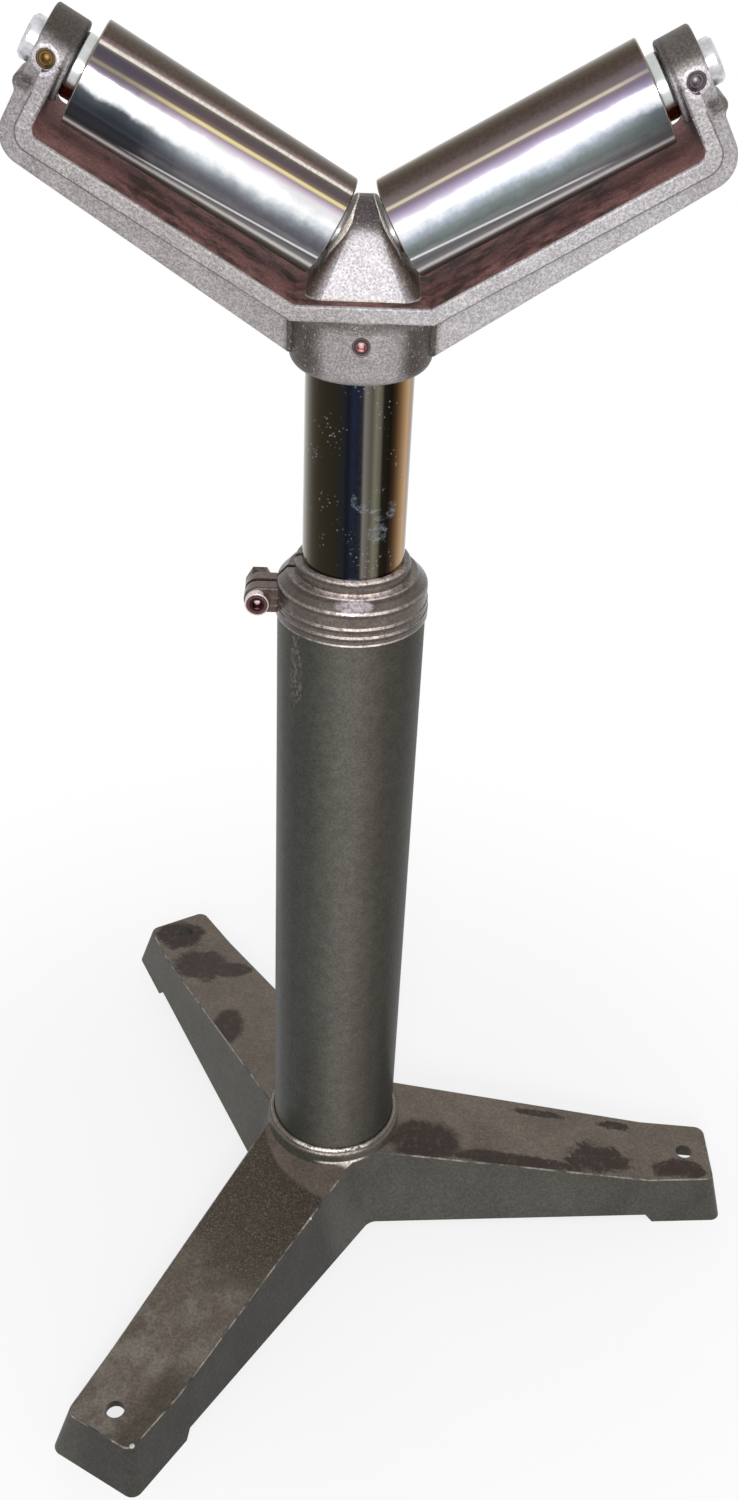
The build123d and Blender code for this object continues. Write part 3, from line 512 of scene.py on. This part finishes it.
def wine_brown_floors(finish, arm, colour):
    """The floors under the rollers: wine-brown with dark streaks that run along the arm, paler
    towards the lugs.
    """
    ramp, fade, mix = finish.ramp, finish.fade, finish.mix
    level = abs(arm.above_floor).math("MINIMUM", abs(finish.z - ARM_FLOOR_Z))
    floor = ramp(finish.facing_up(), 0.70, 0.80) * fade(level, 0.0012, 0.002)
    corner = fade(arm.above_floor, 0.003, 0.009)
    corner = corner * finish.line(arm.along, LUG_IN - 0.003, 0.003, 0.0006)
    wine_floor = largest([floor, corner * ramp(arm.above_floor, -0.001, 0.0)]) * arm.inside
    streaks = finish.noise(0.014, 6.0, 0.72, (0.9, 1.2, 0.9), shift=1.3)
    wine = mix(ramp(streaks, 0.36, 0.60), tone(66, 50, 44), tone(146, 104, 102))
    wine = mix(ramp(arm.along, 0.100, 0.135) * 0.5, wine, tone(158, 116, 112))
    return mix(wine_floor, colour, wine), wine_floor


def shaded_lugs(finish, arm, colour, mottle, painted_light_to_right):
    """The lugs: painted shade on the bosses' tops, on the inner face and in a nook under each stub,
    pale painted highlight rims and dark painted shade round the set screws.
    """
    ramp, fade, mix = finish.ramp, finish.fade, finish.mix
    along, across = arm.along, arm.across
    # Painted shade on the bosses' tops, lighter on the right arm
    boss = ramp(along, LUG_IN - 0.004, LUG_IN - 0.002) * ramp(across, -0.020, -0.016)
    boss_top = boss * ramp(across + mottle * 0.5, 0.004, 0.011)
    top_tone = mix(painted_light_to_right, tone(66, 60, 53), tone(88, 82, 76))
    colour = mix(boss_top * 0.95, colour, top_tone)
    # Painted shade on the lug's inner face
    inner_face = finish.line(along, LUG_IN, 0.0005, 0.0008) * arm.inside
    inner_face = inner_face * ramp(arm.above_floor, 0.003, 0.008)
    colour = mix(inner_face * 0.8, colour, tone(78, 72, 70))
    # Painted shade in the nook under each stub
    outer_nook = ramp(along, LUG_OUT + 0.001, LUG_OUT + 0.003) * ramp(across, -0.0195, -0.0175)
    outer_nook = outer_nook * ramp(across, -0.009, -0.012)
    colour = mix(outer_nook * 0.7, colour, tone(66, 58, 52))

    # A pale painted highlight round each set screw, and painted shade in the holes round them and
    # the hub's screw
    from_screw = diagonal(along - SET_SCREW_ALONG, across)
    facing_front = ramp(finish.y, 0.0, -0.01)
    rim_highlight = finish.line(from_screw, 0.0050, 0.0006, 0.0007) * facing_front
    colour = mix(rim_highlight * 0.7, colour, tone(214, 208, 214))
    from_hub_screw = diagonal(finish.x, finish.z - HEAD_SCREW_Z)
    hole_shade = fade(from_screw.math("MINIMUM", from_hub_screw), 0.0041, 0.0044)
    return mix(hole_shade * facing_front, colour, tone(70, 60, 58)), boss_top


def head_paint():
    """Silver hammered enamel, painted lighter on the right arm, wine-brown on the floors, with
    painted shade and highlights, machined wedge sides and painted glints.
    """
    finish = Finish("silver_hammertone", Specular_IOR_Level=0.3)
    arm = Arm(finish)
    painted_light_to_right = finish.ramp(finish.x, -0.03, 0.05)
    mottle = (finish.noise(0.012, 3.0, 0.6, shift=4.0) - 0.5) * 0.008
    # Painted light: the right arm lighter than the left
    colour = finish.mix(painted_light_to_right, tone(159, 154, 153), tone(180, 176, 178))
    lug_tone = finish.mix(painted_light_to_right, tone(155, 149, 151), tone(166, 161, 162))
    colour = finish.mix(finish.ramp(arm.along, 0.135, 0.150), colour, lug_tone)
    colour = shadow_lined_plate(finish, arm, colour)
    colour = shaded_hub(finish, colour, mottle)
    colour, machined_shine = cut_wedge(finish, arm, colour)
    colour, wine_floor = wine_brown_floors(finish, arm, colour)
    colour, boss_top = shaded_lugs(finish, arm, colour, mottle, painted_light_to_right)

    # Painted glints in the enamel
    sparkle = finish.ramp(finish.noise(0.0011, 3.0, 0.6, shift=21.0), 0.60, 0.70)
    sparkle = sparkle * (1.0 - wine_floor) * (1.0 - boss_top)
    colour = finish.mix(sparkle * 0.45, colour, tone(236, 232, 236))
    roughness = wine_floor * 0.33 + 0.42
    hammered(finish, colour, cell=0.0010, contrast=0.36, depth=0.00013, roughness=roughness)
    finish.link("Metallic", 0.2 - largest([machined_shine, wine_floor]) * 0.2)
    dress(finish, "head_casting")


def base_paint():
    """Dark hammered enamel with brown stains on the tops of the legs, painted shade on a side of
    the front leg, worn edges with a painted highlight, and painted highlights on the hub.
    """
    finish = Finish("base_hammertone", Metallic=0.15, Specular_IOR_Level=0.3)
    ramp, fade, mix, spot = finish.ramp, finish.fade, finish.mix, finish.spot
    up = finish.facing_up()
    top = ramp(up, 0.9, 0.97)
    ring = diagonal(finish.x, finish.y)
    cosine, sine = math.cos(FRONT_LEG_TURN), math.sin(FRONT_LEG_TURN)
    front = finish.x * cosine + finish.y * sine
    across_front = finish.y * cosine - finish.x * sine

    side_tone = mix(finish.noise(0.05, 3.0, 0.6), tone(62, 60, 56), tone(92, 90, 83))
    # Painted shade on one side of the front leg
    shaded = ramp(front, 0.055, 0.075) * ramp(across_front, -0.02, 0.0)
    shade_tone = mix(finish.noise(0.03, 4.0, 0.6), tone(46, 44, 41), tone(72, 70, 66))
    side_tone = mix(shaded, side_tone, shade_tone)
    blotches = finish.noise(0.03, 5.0, 0.65, shift=2.0)
    top_tone = mix(blotches, tone(76, 68, 60), tone(126, 116, 105))
    clouds = ramp(finish.noise(0.022, 5.0, 0.7, shift=12.0), 0.42, 0.60)
    top_tone = mix(clouds * ramp(front, 0.09, 0.13) * 0.85, top_tone, tone(134, 127, 118))
    stain = largest(spot(*row) for row in STAINS)
    stain = stain * ramp(finish.noise(0.005, 6.0, 0.8, shift=11.0), 0.30, 0.50, 0.55, 1.0)
    top_tone = mix(stain, top_tone, tone(52, 41, 36))

    # The front leg: dark speckle beyond the worn ring round the hub
    speckled = ramp(front, 0.02, 0.03) * ramp(ring + across_front * -0.35, 0.056, 0.060)
    fading = ramp(front + finish.noise(0.03, 3.0, 0.6) * 0.05, 0.13, 0.19, 1.0, 0.30)
    speckled = speckled * fading
    foot_band = ramp(front, 0.185, 0.215) * ramp(across_front, 0.004, 0.016) * 0.55
    dark = (speckled + foot_band).math("MINIMUM", 1.0)
    top_tone = mix(dark, top_tone, tone(64, 56, 48))
    colour = mix(top, side_tone, top_tone)

    # Light along the long rounded top edges, wear with a painted highlight, and bright chips at two
    # corners
    worn_edge_highlight = ramp(up, 0.40, 0.62) * fade(up, 0.80, 0.95) * ramp(ring, 0.05, 0.06)
    patchy = ramp(finish.noise(0.012, 3.0, 0.6, shift=5.0), 0.35, 0.6)
    colour = mix(worn_edge_highlight * patchy * 0.8, colour, tone(165, 158, 148))
    chip = {"ragged": 0.2, "grain": 0.003}
    hub_chip = spot((-0.0119, -0.0831, 0.0527), (0.0011, 0.0008, 0.002), **chip)
    foot_chip = spot((-0.1084, -0.2323, 0.033), (0.0016, 0.0016, 0.002), **chip)
    colour = mix(largest([hub_chip, foot_chip * 0.6]), colour, tone(240, 232, 226))

    # The hub: a painted highlight on its rim, and painted highlights along two lines at the front
    rim_highlight = ramp(finish.z, BASE_HUB_TOP - 0.003, BASE_HUB_TOP - 0.001) * fade(ring, 0.0452, 0.0458)
    colour = mix(rim_highlight * 0.5, colour, tone(118, 108, 98))
    shine = ramp(finish.y, -0.032, -0.042) * fade(abs(finish.x - 0.004), 0.010, 0.030)
    shine = shine * ramp(finish.noise(0.003, 3.0, 0.6, shift=14.0), 0.30, 0.50, 0.4, 1.0)
    foot_line = finish.line(finish.z, BASE_HUB_TOP - 0.0072, 0.0006, 0.0007)
    foot_line = foot_line * fade(abs(finish.x - 0.007), 0.010, 0.020)
    top_line = finish.line(finish.z, BASE_HUB_TOP - 0.0002, 0.0003, 0.0005) * 0.6
    colour = mix(shine * largest([foot_line, top_line]), colour, tone(240, 228, 220))

    coarse = finish.noise(0.0012, 4.0, 0.8, shift=9.0)
    glints = ramp(coarse, 0.50, 0.62) * speckled * top * 0.65
    colour = mix(glints, colour, tone(120, 112, 100))
    hammered(finish, colour, cell=0.0017, contrast=0.26, depth=0.00016, roughness=0.5)
    dress(finish, "base_casting")


def column_paint():
    """Smooth dark hammered enamel with painted shade towards both sides and a painted highlight
    down the middle, and scratches at its upper left.
    """
    finish = Finish("column_hammertone", Metallic=0.1, Specular_IOR_Level=0.08)
    sway = (finish.noise(0.05, 3.0, 0.6, (1.0, 1.0, 0.4)) - 0.5) * 0.05
    share = round_share(finish.x, COLUMN_R) + sway
    patches = finish.noise(0.007, 4.0, 0.7, shift=3.0)
    colour = finish.bands(share, at_angles(COLUMN_PAINTED_SHADING))
    colour = finish.dimmed(colour, finish.ramp(patches, 0.3, 0.7, 0.88, 1.10))
    scrape = finish.spot(
        (-0.0281, -0.0277, 0.427), (0.0035, 0.01, 0.022), ragged=0.9, grain=0.006
    )
    fine = finish.noise(0.002, 4.0, 0.7, (1.0, 1.0, 0.6), shift=4.0)
    scrape = scrape * finish.ramp(fine, 0.46, 0.62)
    colour = finish.mix(scrape * 0.55, colour, tone(132, 122, 116))
    hammered(finish, colour, cell=0.0013, contrast=0.20, depth=0.00012, roughness=0.42)
    dress(finish, "column_tube")


def collar_paint():
    """Brown-grey enamel on the clamp collar, painted light down its front and painted shade at its
    sides, with painted shadows under its steps and painted highlights along their edges.
    """
    finish = Finish(
        "collar_enamel",
        Metallic=0.25,
        Specular_IOR_Level=0.3,
        Coat_Weight=0.25,
        Coat_Roughness=0.15,
    )
    ramp, fade, mix = finish.ramp, finish.fade, finish.mix
    patches = finish.noise(0.006, 4.0, 0.7)
    aside = abs(finish.x - 0.003)
    # Painted light down the middle of the front, painted shade towards the sides
    middle = fade(aside, 0.010, 0.032) * ramp(finish.y, -0.010, -0.022)
    dim = mix(patches, tone(52, 44, 38), tone(92, 82, 74))
    lit = mix(patches, tone(74, 64, 58), tone(122, 112, 106))
    colour = mix(middle, dim, lit)

    # Painted shadow under each step's edge
    shadow = largest(finish.line(finish.z, z - 0.0017, 0.0004, 0.0006) for z in COLLAR_EDGES)
    colour = mix(shadow * 0.55, colour, tone(44, 36, 32))
    # Painted highlights along the steps' edges, brightest at the front
    edge_highlights = largest(finish.line(finish.z, z, 0.0004, 0.0005) for z in COLLAR_EDGES)
    glow = ramp(aside, 0.004, 0.028, 1.0, 0.16) * ramp(finish.y, 0.0, -0.018, 0.35, 1.0)
    broken = ramp(finish.noise(0.0035, 5.0, 0.7, shift=8.0), 0.34, 0.56, 0.25, 1.0)
    colour = mix(edge_highlights * glow * broken, colour, tone(250, 234, 228))
    # A painted highlight on the front of the shoulder
    shoulder_highlight = finish.spot(
        (0.0015, -0.034, 0.4710), (0.010, 0.02, 0.0028), ragged=0.3, grain=0.003
    )
    colour = mix(shoulder_highlight * broken * 0.7, colour, tone(206, 194, 204))

    ears = fade(finish.x, -0.041, -0.039)
    ear_tone = mix(patches, tone(50, 34, 28), tone(118, 92, 82))
    colour = mix(ears * 0.65, colour, ear_tone)
    hammered(finish, colour, cell=0.0016, contrast=0.26, depth=0.00020, roughness=0.30)
    dress(finish, "clamp_collar")


# Chrome -------------------------------------------------------------------------------------
def post_chrome():
    """Dark chrome with painted reflections in long streaks, thumb smears and a few specks."""
    finish = Finish("post_chrome", Metallic=1.0)
    ramp, mix = finish.ramp, finish.mix
    # The painted reflection streaks sway a little, and drift to one side up the post
    share = round_share(finish.x, POST_R)
    share = share + (finish.noise(0.03, 2.0, 0.5, (1.0, 1.0, 0.12)) - 0.5) * 0.012
    share = share + (finish.z - 0.53) * 0.16
    colour = finish.bands(share, at_angles(POST_PAINTED_REFLECTIONS))
    broken = ramp(finish.noise(0.0016, 5.0, 0.75, (1.0, 1.0, 0.5), shift=3.3), 0.44, 0.60)
    # A broken dark band of painted reflection down the middle, fainter up the post
    dark_middle_band = finish.line(share, 0.49, 0.03, 0.02) * broken * ramp(finish.z, 0.52, 0.58, 1.0, 0.5)
    colour = mix(dark_middle_band * 0.8, colour, tone(36, 35, 33))

    smears = largest(
        finish.spot(centre, radius, ragged=0.4, grain=0.004, shift=float(number))
        for number, (centre, radius) in enumerate(SMEARS)
    )
    wipes = ramp(finish.noise(0.003, 5.0, 0.75, (1.0, 1.0, 1.6), shift=6.0), 0.42, 0.68)
    colour = mix(smears * wipes * 0.6, colour, tone(150, 160, 172))
    front_half = ramp(finish.y, 0.0, -0.01)
    specks = finish.fade(finish.cells(0.0022, "F1", 5.0), 0.12, 0.30)
    area = ramp(finish.noise(0.016, 2.0, 0.5, shift=8.0), 0.52, 0.62) * front_half
    colour = mix(specks * area * 0.35, colour, tone(180, 182, 186))
    finish.link("Base Color", colour)
    finish.link("Roughness", ramp(finish.noise(0.02, 4.0, 0.6), 0.3, 0.8, 0.05, 0.16))
    dress(finish, "post_tube")


def roller_chrome(name, side, streaks, drift, highlight_line, low_outer_reflection, high_outer_reflection):
    """Bright chrome with painted reflections in streaks that run along the roller, painted darker
    towards its outer end.
    """
    finish = Finish(f"{name}_roller_chrome")
    ramp, fade, mix = finish.ramp, finish.fade, finish.mix
    height = finish.z - AXLE_Z
    up = finish.x * (-side * math.sin(AXLE_TILT)) + height * math.cos(AXLE_TILT)
    along = finish.x * (side * math.cos(AXLE_TILT)) + height * math.sin(AXLE_TILT)
    # The middle of the visible half lies this far above the roller's front
    lifted = math.radians(15)
    offset = up * math.cos(lifted) + finish.y * math.sin(lifted)
    share = round_share(offset, ROLLER_R)
    cloud = finish.noise(0.016, 5.0, 0.65, shift=1.0) - 0.5
    wander = (finish.noise(0.05, 2.0, 0.5, shift=2.0) - 0.5) * 0.010
    # The painted reflection streaks drift along the roller, and cloudy edges break the ones in the
    # middle
    middle = ramp(share, 0.24, 0.36) * fade(share, 0.46, 0.54)
    drifted = share + (along - 0.065) * drift + wander + cloud * middle * 0.11
    colour = finish.bands(drifted, at_angles(streaks))

    # The lower half's painted reflections are clear and pale inside; both halves take darker
    # painted reflections towards the outer end
    (start, full), outer_reflection = low_outer_reflection
    low = fade(share + cloud * 0.08, 0.40, 0.44) * ramp(share, 0.14, 0.20)
    outer = ramp(along + cloud * 0.05, start, full)
    colour = mix(low * outer * 0.88, colour, tone(*outer_reflection))
    (start, full), outer_reflection = high_outer_reflection
    high = ramp(share + cloud * 0.04, 0.50, 0.55) * fade(share, 0.655, 0.675)
    outer = ramp(along + cloud * 0.04, start, full)
    colour = mix(high * outer * 0.7, colour, tone(*outer_reflection))
    # A bright painted highlight line along the roller, fading out towards the outer end
    highlight_start, fall = highlight_line
    painted_highlight_line = finish.line(share * 180.0 - 90.0 + (along - 0.025) * fall, highlight_start, 0.8, 1.4)
    colour = mix(painted_highlight_line * ramp(along, 0.095, 0.12, 0.9, 0.0), colour, tone(250, 246, 252))
    if side > 0:
        # A painted gold reflection along the top of the right roller's inner end
        edge = ramp(share, 0.90, 0.96) * fade(along, 0.035, 0.055)
        colour = mix(edge, colour, tone(214, 196, 156))

    ends = largest(finish.line(along, end, 0.0006, 0.0002) for end in (ROLLER_START, ROLLER_END))
    colour = mix(ends, colour, tone(150, 138, 126))
    grit = ramp(finish.noise(0.0016, 2.0, 0.6, shift=5.0), 0.35, 0.65, -0.12, 0.12)
    grit = grit * (ramp(share, 0.46, 0.50, 0.25, 0.1) + ramp(share, 0.66, 0.72))
    # The upper half is painted a little darker, to dim its painted reflections
    painted_dimming = ramp(share, 0.44, 0.48, 1.0, 0.8)
    finish.link("Base Color", finish.dimmed(colour, (grit + 1.0) * painted_dimming))
    finish.link("Metallic", ramp(share, 0.285, 0.335, 0.1, 1.0))
    finish.link("Roughness", ramp(finish.noise(0.01, 3.0, 0.6), 0.3, 0.8, 0.13, 0.22))
    dress(finish, f"{name}_roller_tube")


# Small metal --------------------------------------------------------------------------------
def plain_metal(name, light, dark, roughness, nodes):
    """Metal in patches of a light and a dark colour."""
    finish = Finish(name, Metallic=1.0)
    patches = finish.noise(0.003, 3.0, 0.6)
    colour = finish.mix(finish.ramp(patches, 0.35, 0.65), tone(*dark), tone(*light))
    finish.link("Base Color", colour)
    finish.link("Roughness", finish.ramp(patches, 0.3, 0.75, roughness + 0.1, roughness))
    finish.bump(patches, 0.00003)
    dress(finish, *nodes)


def ringed_metal(name, node, centre, rings):
    """A screw's metal, with rings of colour, painted highlight and painted shade round an axis that
    points to the front.
    """
    finish = Finish(name, Metallic=1.0)
    radius = diagonal(finish.x - centre[0], finish.z - centre[1]) * 1000.0
    outermost = rings[-1][0]
    stops = [(at / outermost, tone(*paint)) for at, paint in rings]
    patches = finish.noise(0.002, 3.0, 0.6)
    shade = finish.ramp(patches, 0.3, 0.7, 0.8, 1.1)
    finish.link("Base Color", finish.dimmed(finish.bands(radius / outermost, stops), shade))
    finish.link("Roughness", finish.ramp(patches, 0.3, 0.75, 0.34, 0.22))
    finish.bump(patches, 0.00003)
    dress(finish, node)


# New pieces ---------------------------------------------------------------------------------
def turned(name, rings, segments):
    """A closed piece round the Z axis: a circle is extruded through these radii and heights."""
    bpy.ops.object.select_all(action="DESELECT")
    (radius, height), *others = rings
    bpy.ops.mesh.primitive_circle_add(vertices=segments, radius=radius, location=(0, 0, height))
    piece = bpy.context.active_object
    piece.name = name
    bpy.ops.object.transform_apply(location=True, rotation=True, scale=True)
    bpy.ops.object.mode_set(mode="EDIT")
    bpy.ops.mesh.select_all(action="SELECT")
    for next_radius, next_height in [*others, rings[0]]:
        rise = (0, 0, next_height - height)
        bpy.ops.mesh.extrude_region_move(TRANSFORM_OT_translate={"value": rise})
        grow = next_radius / radius
        bpy.ops.transform.resize(value=(grow, grow, 1), center_override=(0, 0, 0))
        radius, height = next_radius, next_height
    bpy.ops.mesh.select_all(action="SELECT")
    bpy.ops.mesh.remove_doubles(threshold=0.000001)
    bpy.ops.mesh.normals_make_consistent(inside=False)
    bpy.ops.object.mode_set(mode="OBJECT")
    return piece


def pick_points(piece, wanted):
    """Selects the points of a piece for which wanted(x, y, z) is true, and opens edit mode."""
    bpy.ops.object.mode_set(mode="EDIT")
    bpy.ops.mesh.select_mode(type="VERT")
    bpy.ops.mesh.select_all(action="DESELECT")
    bpy.ops.object.mode_set(mode="OBJECT")
    for point in piece.data.vertices:
        point.select = wanted(*point.co)
    bpy.ops.object.mode_set(mode="EDIT")


def bead_step(x, y):
    """Which of the bead's steps round the Z axis a point stands on."""
    return round(math.atan2(y, x) / (2 * math.pi) * BEAD_STEPS) % BEAD_STEPS


def weld_bead():
    """The weld round the column's foot: a fillet of overlapping ripples."""
    section = [(radius, BASE_HUB_TOP + rise) for radius, rise in BEAD_SECTION]
    bead = turned("weld_bead", section, segments=BEAD_STEPS)
    foot = BASE_HUB_TOP + 0.0005
    # Fine ripples on every third step, and a swelling on four steps of every eighteen
    for every, raised, push in ((3, (0,), 0.00035), (18, (4, 5, 6, 7), 0.0003)):
        pick_points(bead, lambda x, y, z: z > foot and bead_step(x, y) % every in raised)
        bpy.ops.transform.shrink_fatten(value=push)
        bpy.ops.object.mode_set(mode="OBJECT")
    smooth = bead.modifiers.new("smooth", "SUBSURF")
    smooth.levels = smooth.render_levels = 1
    bpy.ops.object.modifier_apply(modifier=smooth.name)
    bpy.ops.object.shade_smooth()
    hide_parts("column_bead")
    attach(bead, "base")

    finish = Finish(
        "weld_enamel",
        Metallic=0.35,
        Specular_IOR_Level=0.6,
        Coat_Weight=0.4,
        Coat_Roughness=0.15,
    )
    colour = finish.mix(finish.noise(0.004, 3.0, 0.6), tone(62, 54, 46), tone(126, 116, 104))
    patchy = finish.ramp(finish.noise(0.003, 3.0, 0.6, shift=2.0), 0.35, 0.55)
    shine = finish.ramp(finish.y, -0.030, -0.040) * patchy
    shine = shine * finish.line(finish.z, BASE_HUB_TOP + 0.0020, 0.0005, 0.0005)
    colour = finish.mix(shine, colour, tone(250, 240, 234))
    hammered(finish, colour, cell=0.0016, contrast=0.25, depth=0.0002, roughness=0.32)
    bead.data.materials.append(finish.material)


def axle_sleeve(name, side):
    """The sleeve on the axle that fills the gap between a roller and its lug."""
    inner, outer = ROLLER_END - 0.0030, BOSS_IN - 0.0001
    section = [
        (0.0102, inner), (0.0140, inner), (0.0145, inner + 0.0005),
        (0.0147, outer - 0.0010), (0.0141, outer), (0.0102, outer),
    ]
    sleeve = turned(f"{name}_axle_sleeve", section, segments=96)
    sleeve.rotation_euler = (0.0, side * (math.pi / 2 - AXLE_TILT), 0.0)
    sleeve.location = (0.0, 0.0, AXLE_Z)
    bpy.ops.object.transform_apply(location=True, rotation=True, scale=True)
    bevel = sleeve.modifiers.new("edge", "BEVEL")
    bevel.width, bevel.segments, bevel.limit_method = 0.0003, 2, "ANGLE"
    bpy.ops.object.modifier_apply(modifier=bevel.name)
    bpy.ops.object.shade_smooth_by_angle(angle=math.radians(40))
    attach(sleeve, "head")

    # Zinc plate, red-brown on its underside
    finish = Finish(f"{name}_sleeve_plate", Metallic=1.0)
    across = finish.z - AXLE_Z - abs(finish.x) * math.tan(AXLE_TILT)
    ragged = (finish.noise(0.004, 3.0, 0.6) - 0.5) * 0.004
    red_brown_underside = finish.fade(across + ragged, -0.0085, -0.0065)
    plate = finish.mix(finish.noise(0.006, 3.0, 0.6), tone(176, 184, 172), tone(222, 222, 226))
    finish.link("Base Color", finish.mix(red_brown_underside, plate, tone(112, 56, 34)))
    wear = finish.noise(0.003, 3.0, 0.6)
    finish.link("Roughness", finish.ramp(wear, 0.3, 0.75, 0.3, 0.2))
    sleeve.data.materials.append(finish.material)


# Floor and light ----------------------------------------------------------------------------
def seen_directly(sheet):
    """1 for rays from the camera and for rays that metal or glass mirrors."""
    rays = ("Is Camera Ray", "Is Glossy Ray", "Is Transmission Ray")
    return largest(sheet.node("ShaderNodeLightPath", output=ray) for ray in rays)


def pale_floor():
    """A pale floor that keeps the shadow near the stand and is plain white further off."""
    bpy.ops.object.select_all(action="DESELECT")
    bpy.ops.mesh.primitive_plane_add(size=STAGE_SIZE)
    floor = bpy.context.active_object
    floor.name = "floor"
    paint = Finish(
        "floor_white",
        Base_Color=(0.95, 0.95, 0.95, 1.0),
        Roughness=0.9,
        Specular_IOR_Level=0.1,
    )
    plain = paint.ramp(diagonal(paint.x, paint.y), 0.15, 0.55, 0.78, 1.0) * seen_directly(paint)
    lit = Signal(paint, paint.shader.outputs[0])
    white = paint.node("ShaderNodeEmission")
    surface = paint.node("ShaderNodeMixShader", values={0: plain, 1: lit, 2: white})
    paint.tree.links.new(surface.socket, paint.tree.nodes["Material Output"].inputs["Surface"])
    floor.data.materials.append(paint.material)


def white_surround():
    """A white surround that lights the stand more softly than it shows."""
    world = bpy.data.worlds.new("studio")
    bpy.context.scene.world = world
    world.use_nodes = True
    sheet = Sheet(world.node_tree)
    nodes, links = world.node_tree.nodes, world.node_tree.links
    white = (1.0, 1.0, 1.0, 1.0)
    light = nodes["Background"]
    light.inputs["Color"].default_value = white
    light.inputs["Strength"].default_value = 0.42
    shown = sheet.node("ShaderNodeBackground", values={"Color": white})
    values = {0: seen_directly(sheet), 1: Signal(sheet, light.outputs[0]), 2: shown}
    surface = sheet.node("ShaderNodeMixShader", values=values)
    links.new(surface.socket, nodes["World Output"].inputs["Surface"])


def lamps():
    """Three soft lamps, of which the chrome mirrors only the key."""
    for name, at, size, power in LAMPS:
        data = bpy.data.lights.new(name, "AREA")
        data.size = size
        data.energy = power
        lamp = bpy.data.objects.new(name, data)
        bpy.context.collection.objects.link(lamp)
        lamp.location = at
        lamp.visible_glossy = name == "key"
        lamp.rotation_euler = (Vector(LAMPS_AIM) - Vector(at)).to_track_quat("-Z", "Y").to_euler()


def camera():
    """The photo's camera, in its pixels: a 738 by 1500 frame, 1581.5 of focal length."""
    photo_width, photo_height = 738.0, 1500.0
    focal = 1581.5
    centre_x, centre_y = 342.1, 797.8
    eye = (-0.0032, -0.7372, 0.8663)
    ahead = Vector((0.002, 0.806, -0.592)).normalized()
    roll = math.radians(2.03)
    right = ahead.cross(Vector((0, 0, 1))).normalized()
    up = right.cross(ahead)
    axes = (
        right * math.cos(roll) + up * math.sin(roll),
        up * math.cos(roll) - right * math.sin(roll),
        -ahead,
    )
    data = bpy.data.cameras.new("camera")
    data.sensor_fit = "VERTICAL"
    data.sensor_height = 24.0
    data.lens = data.sensor_height * focal / photo_height
    data.shift_x = (photo_width / 2 - centre_x) / photo_height
    data.shift_y = (centre_y - photo_height / 2) / photo_height
    view = bpy.data.objects.new("camera", data)
    bpy.context.collection.objects.link(view)
    view.matrix_world = Matrix.Translation(eye) @ Matrix(axes).transposed().to_4x4()
    bpy.context.scene.camera = view


head_paint()
base_paint()
column_paint()
collar_paint()
post_chrome()
for name, look in ROLLERS.items():
    roller_chrome(name, **look)
for screw in SCREWS:
    ringed_metal(*screw)
for metal in METALS:
    plain_metal(*metal)
weld_bead()
for name, look in ROLLERS.items():
    axle_sleeve(name, look["side"])
pale_floor()
white_surround()
lamps()
camera()
bpy.context.scene.view_settings.view_transform = "Standard"
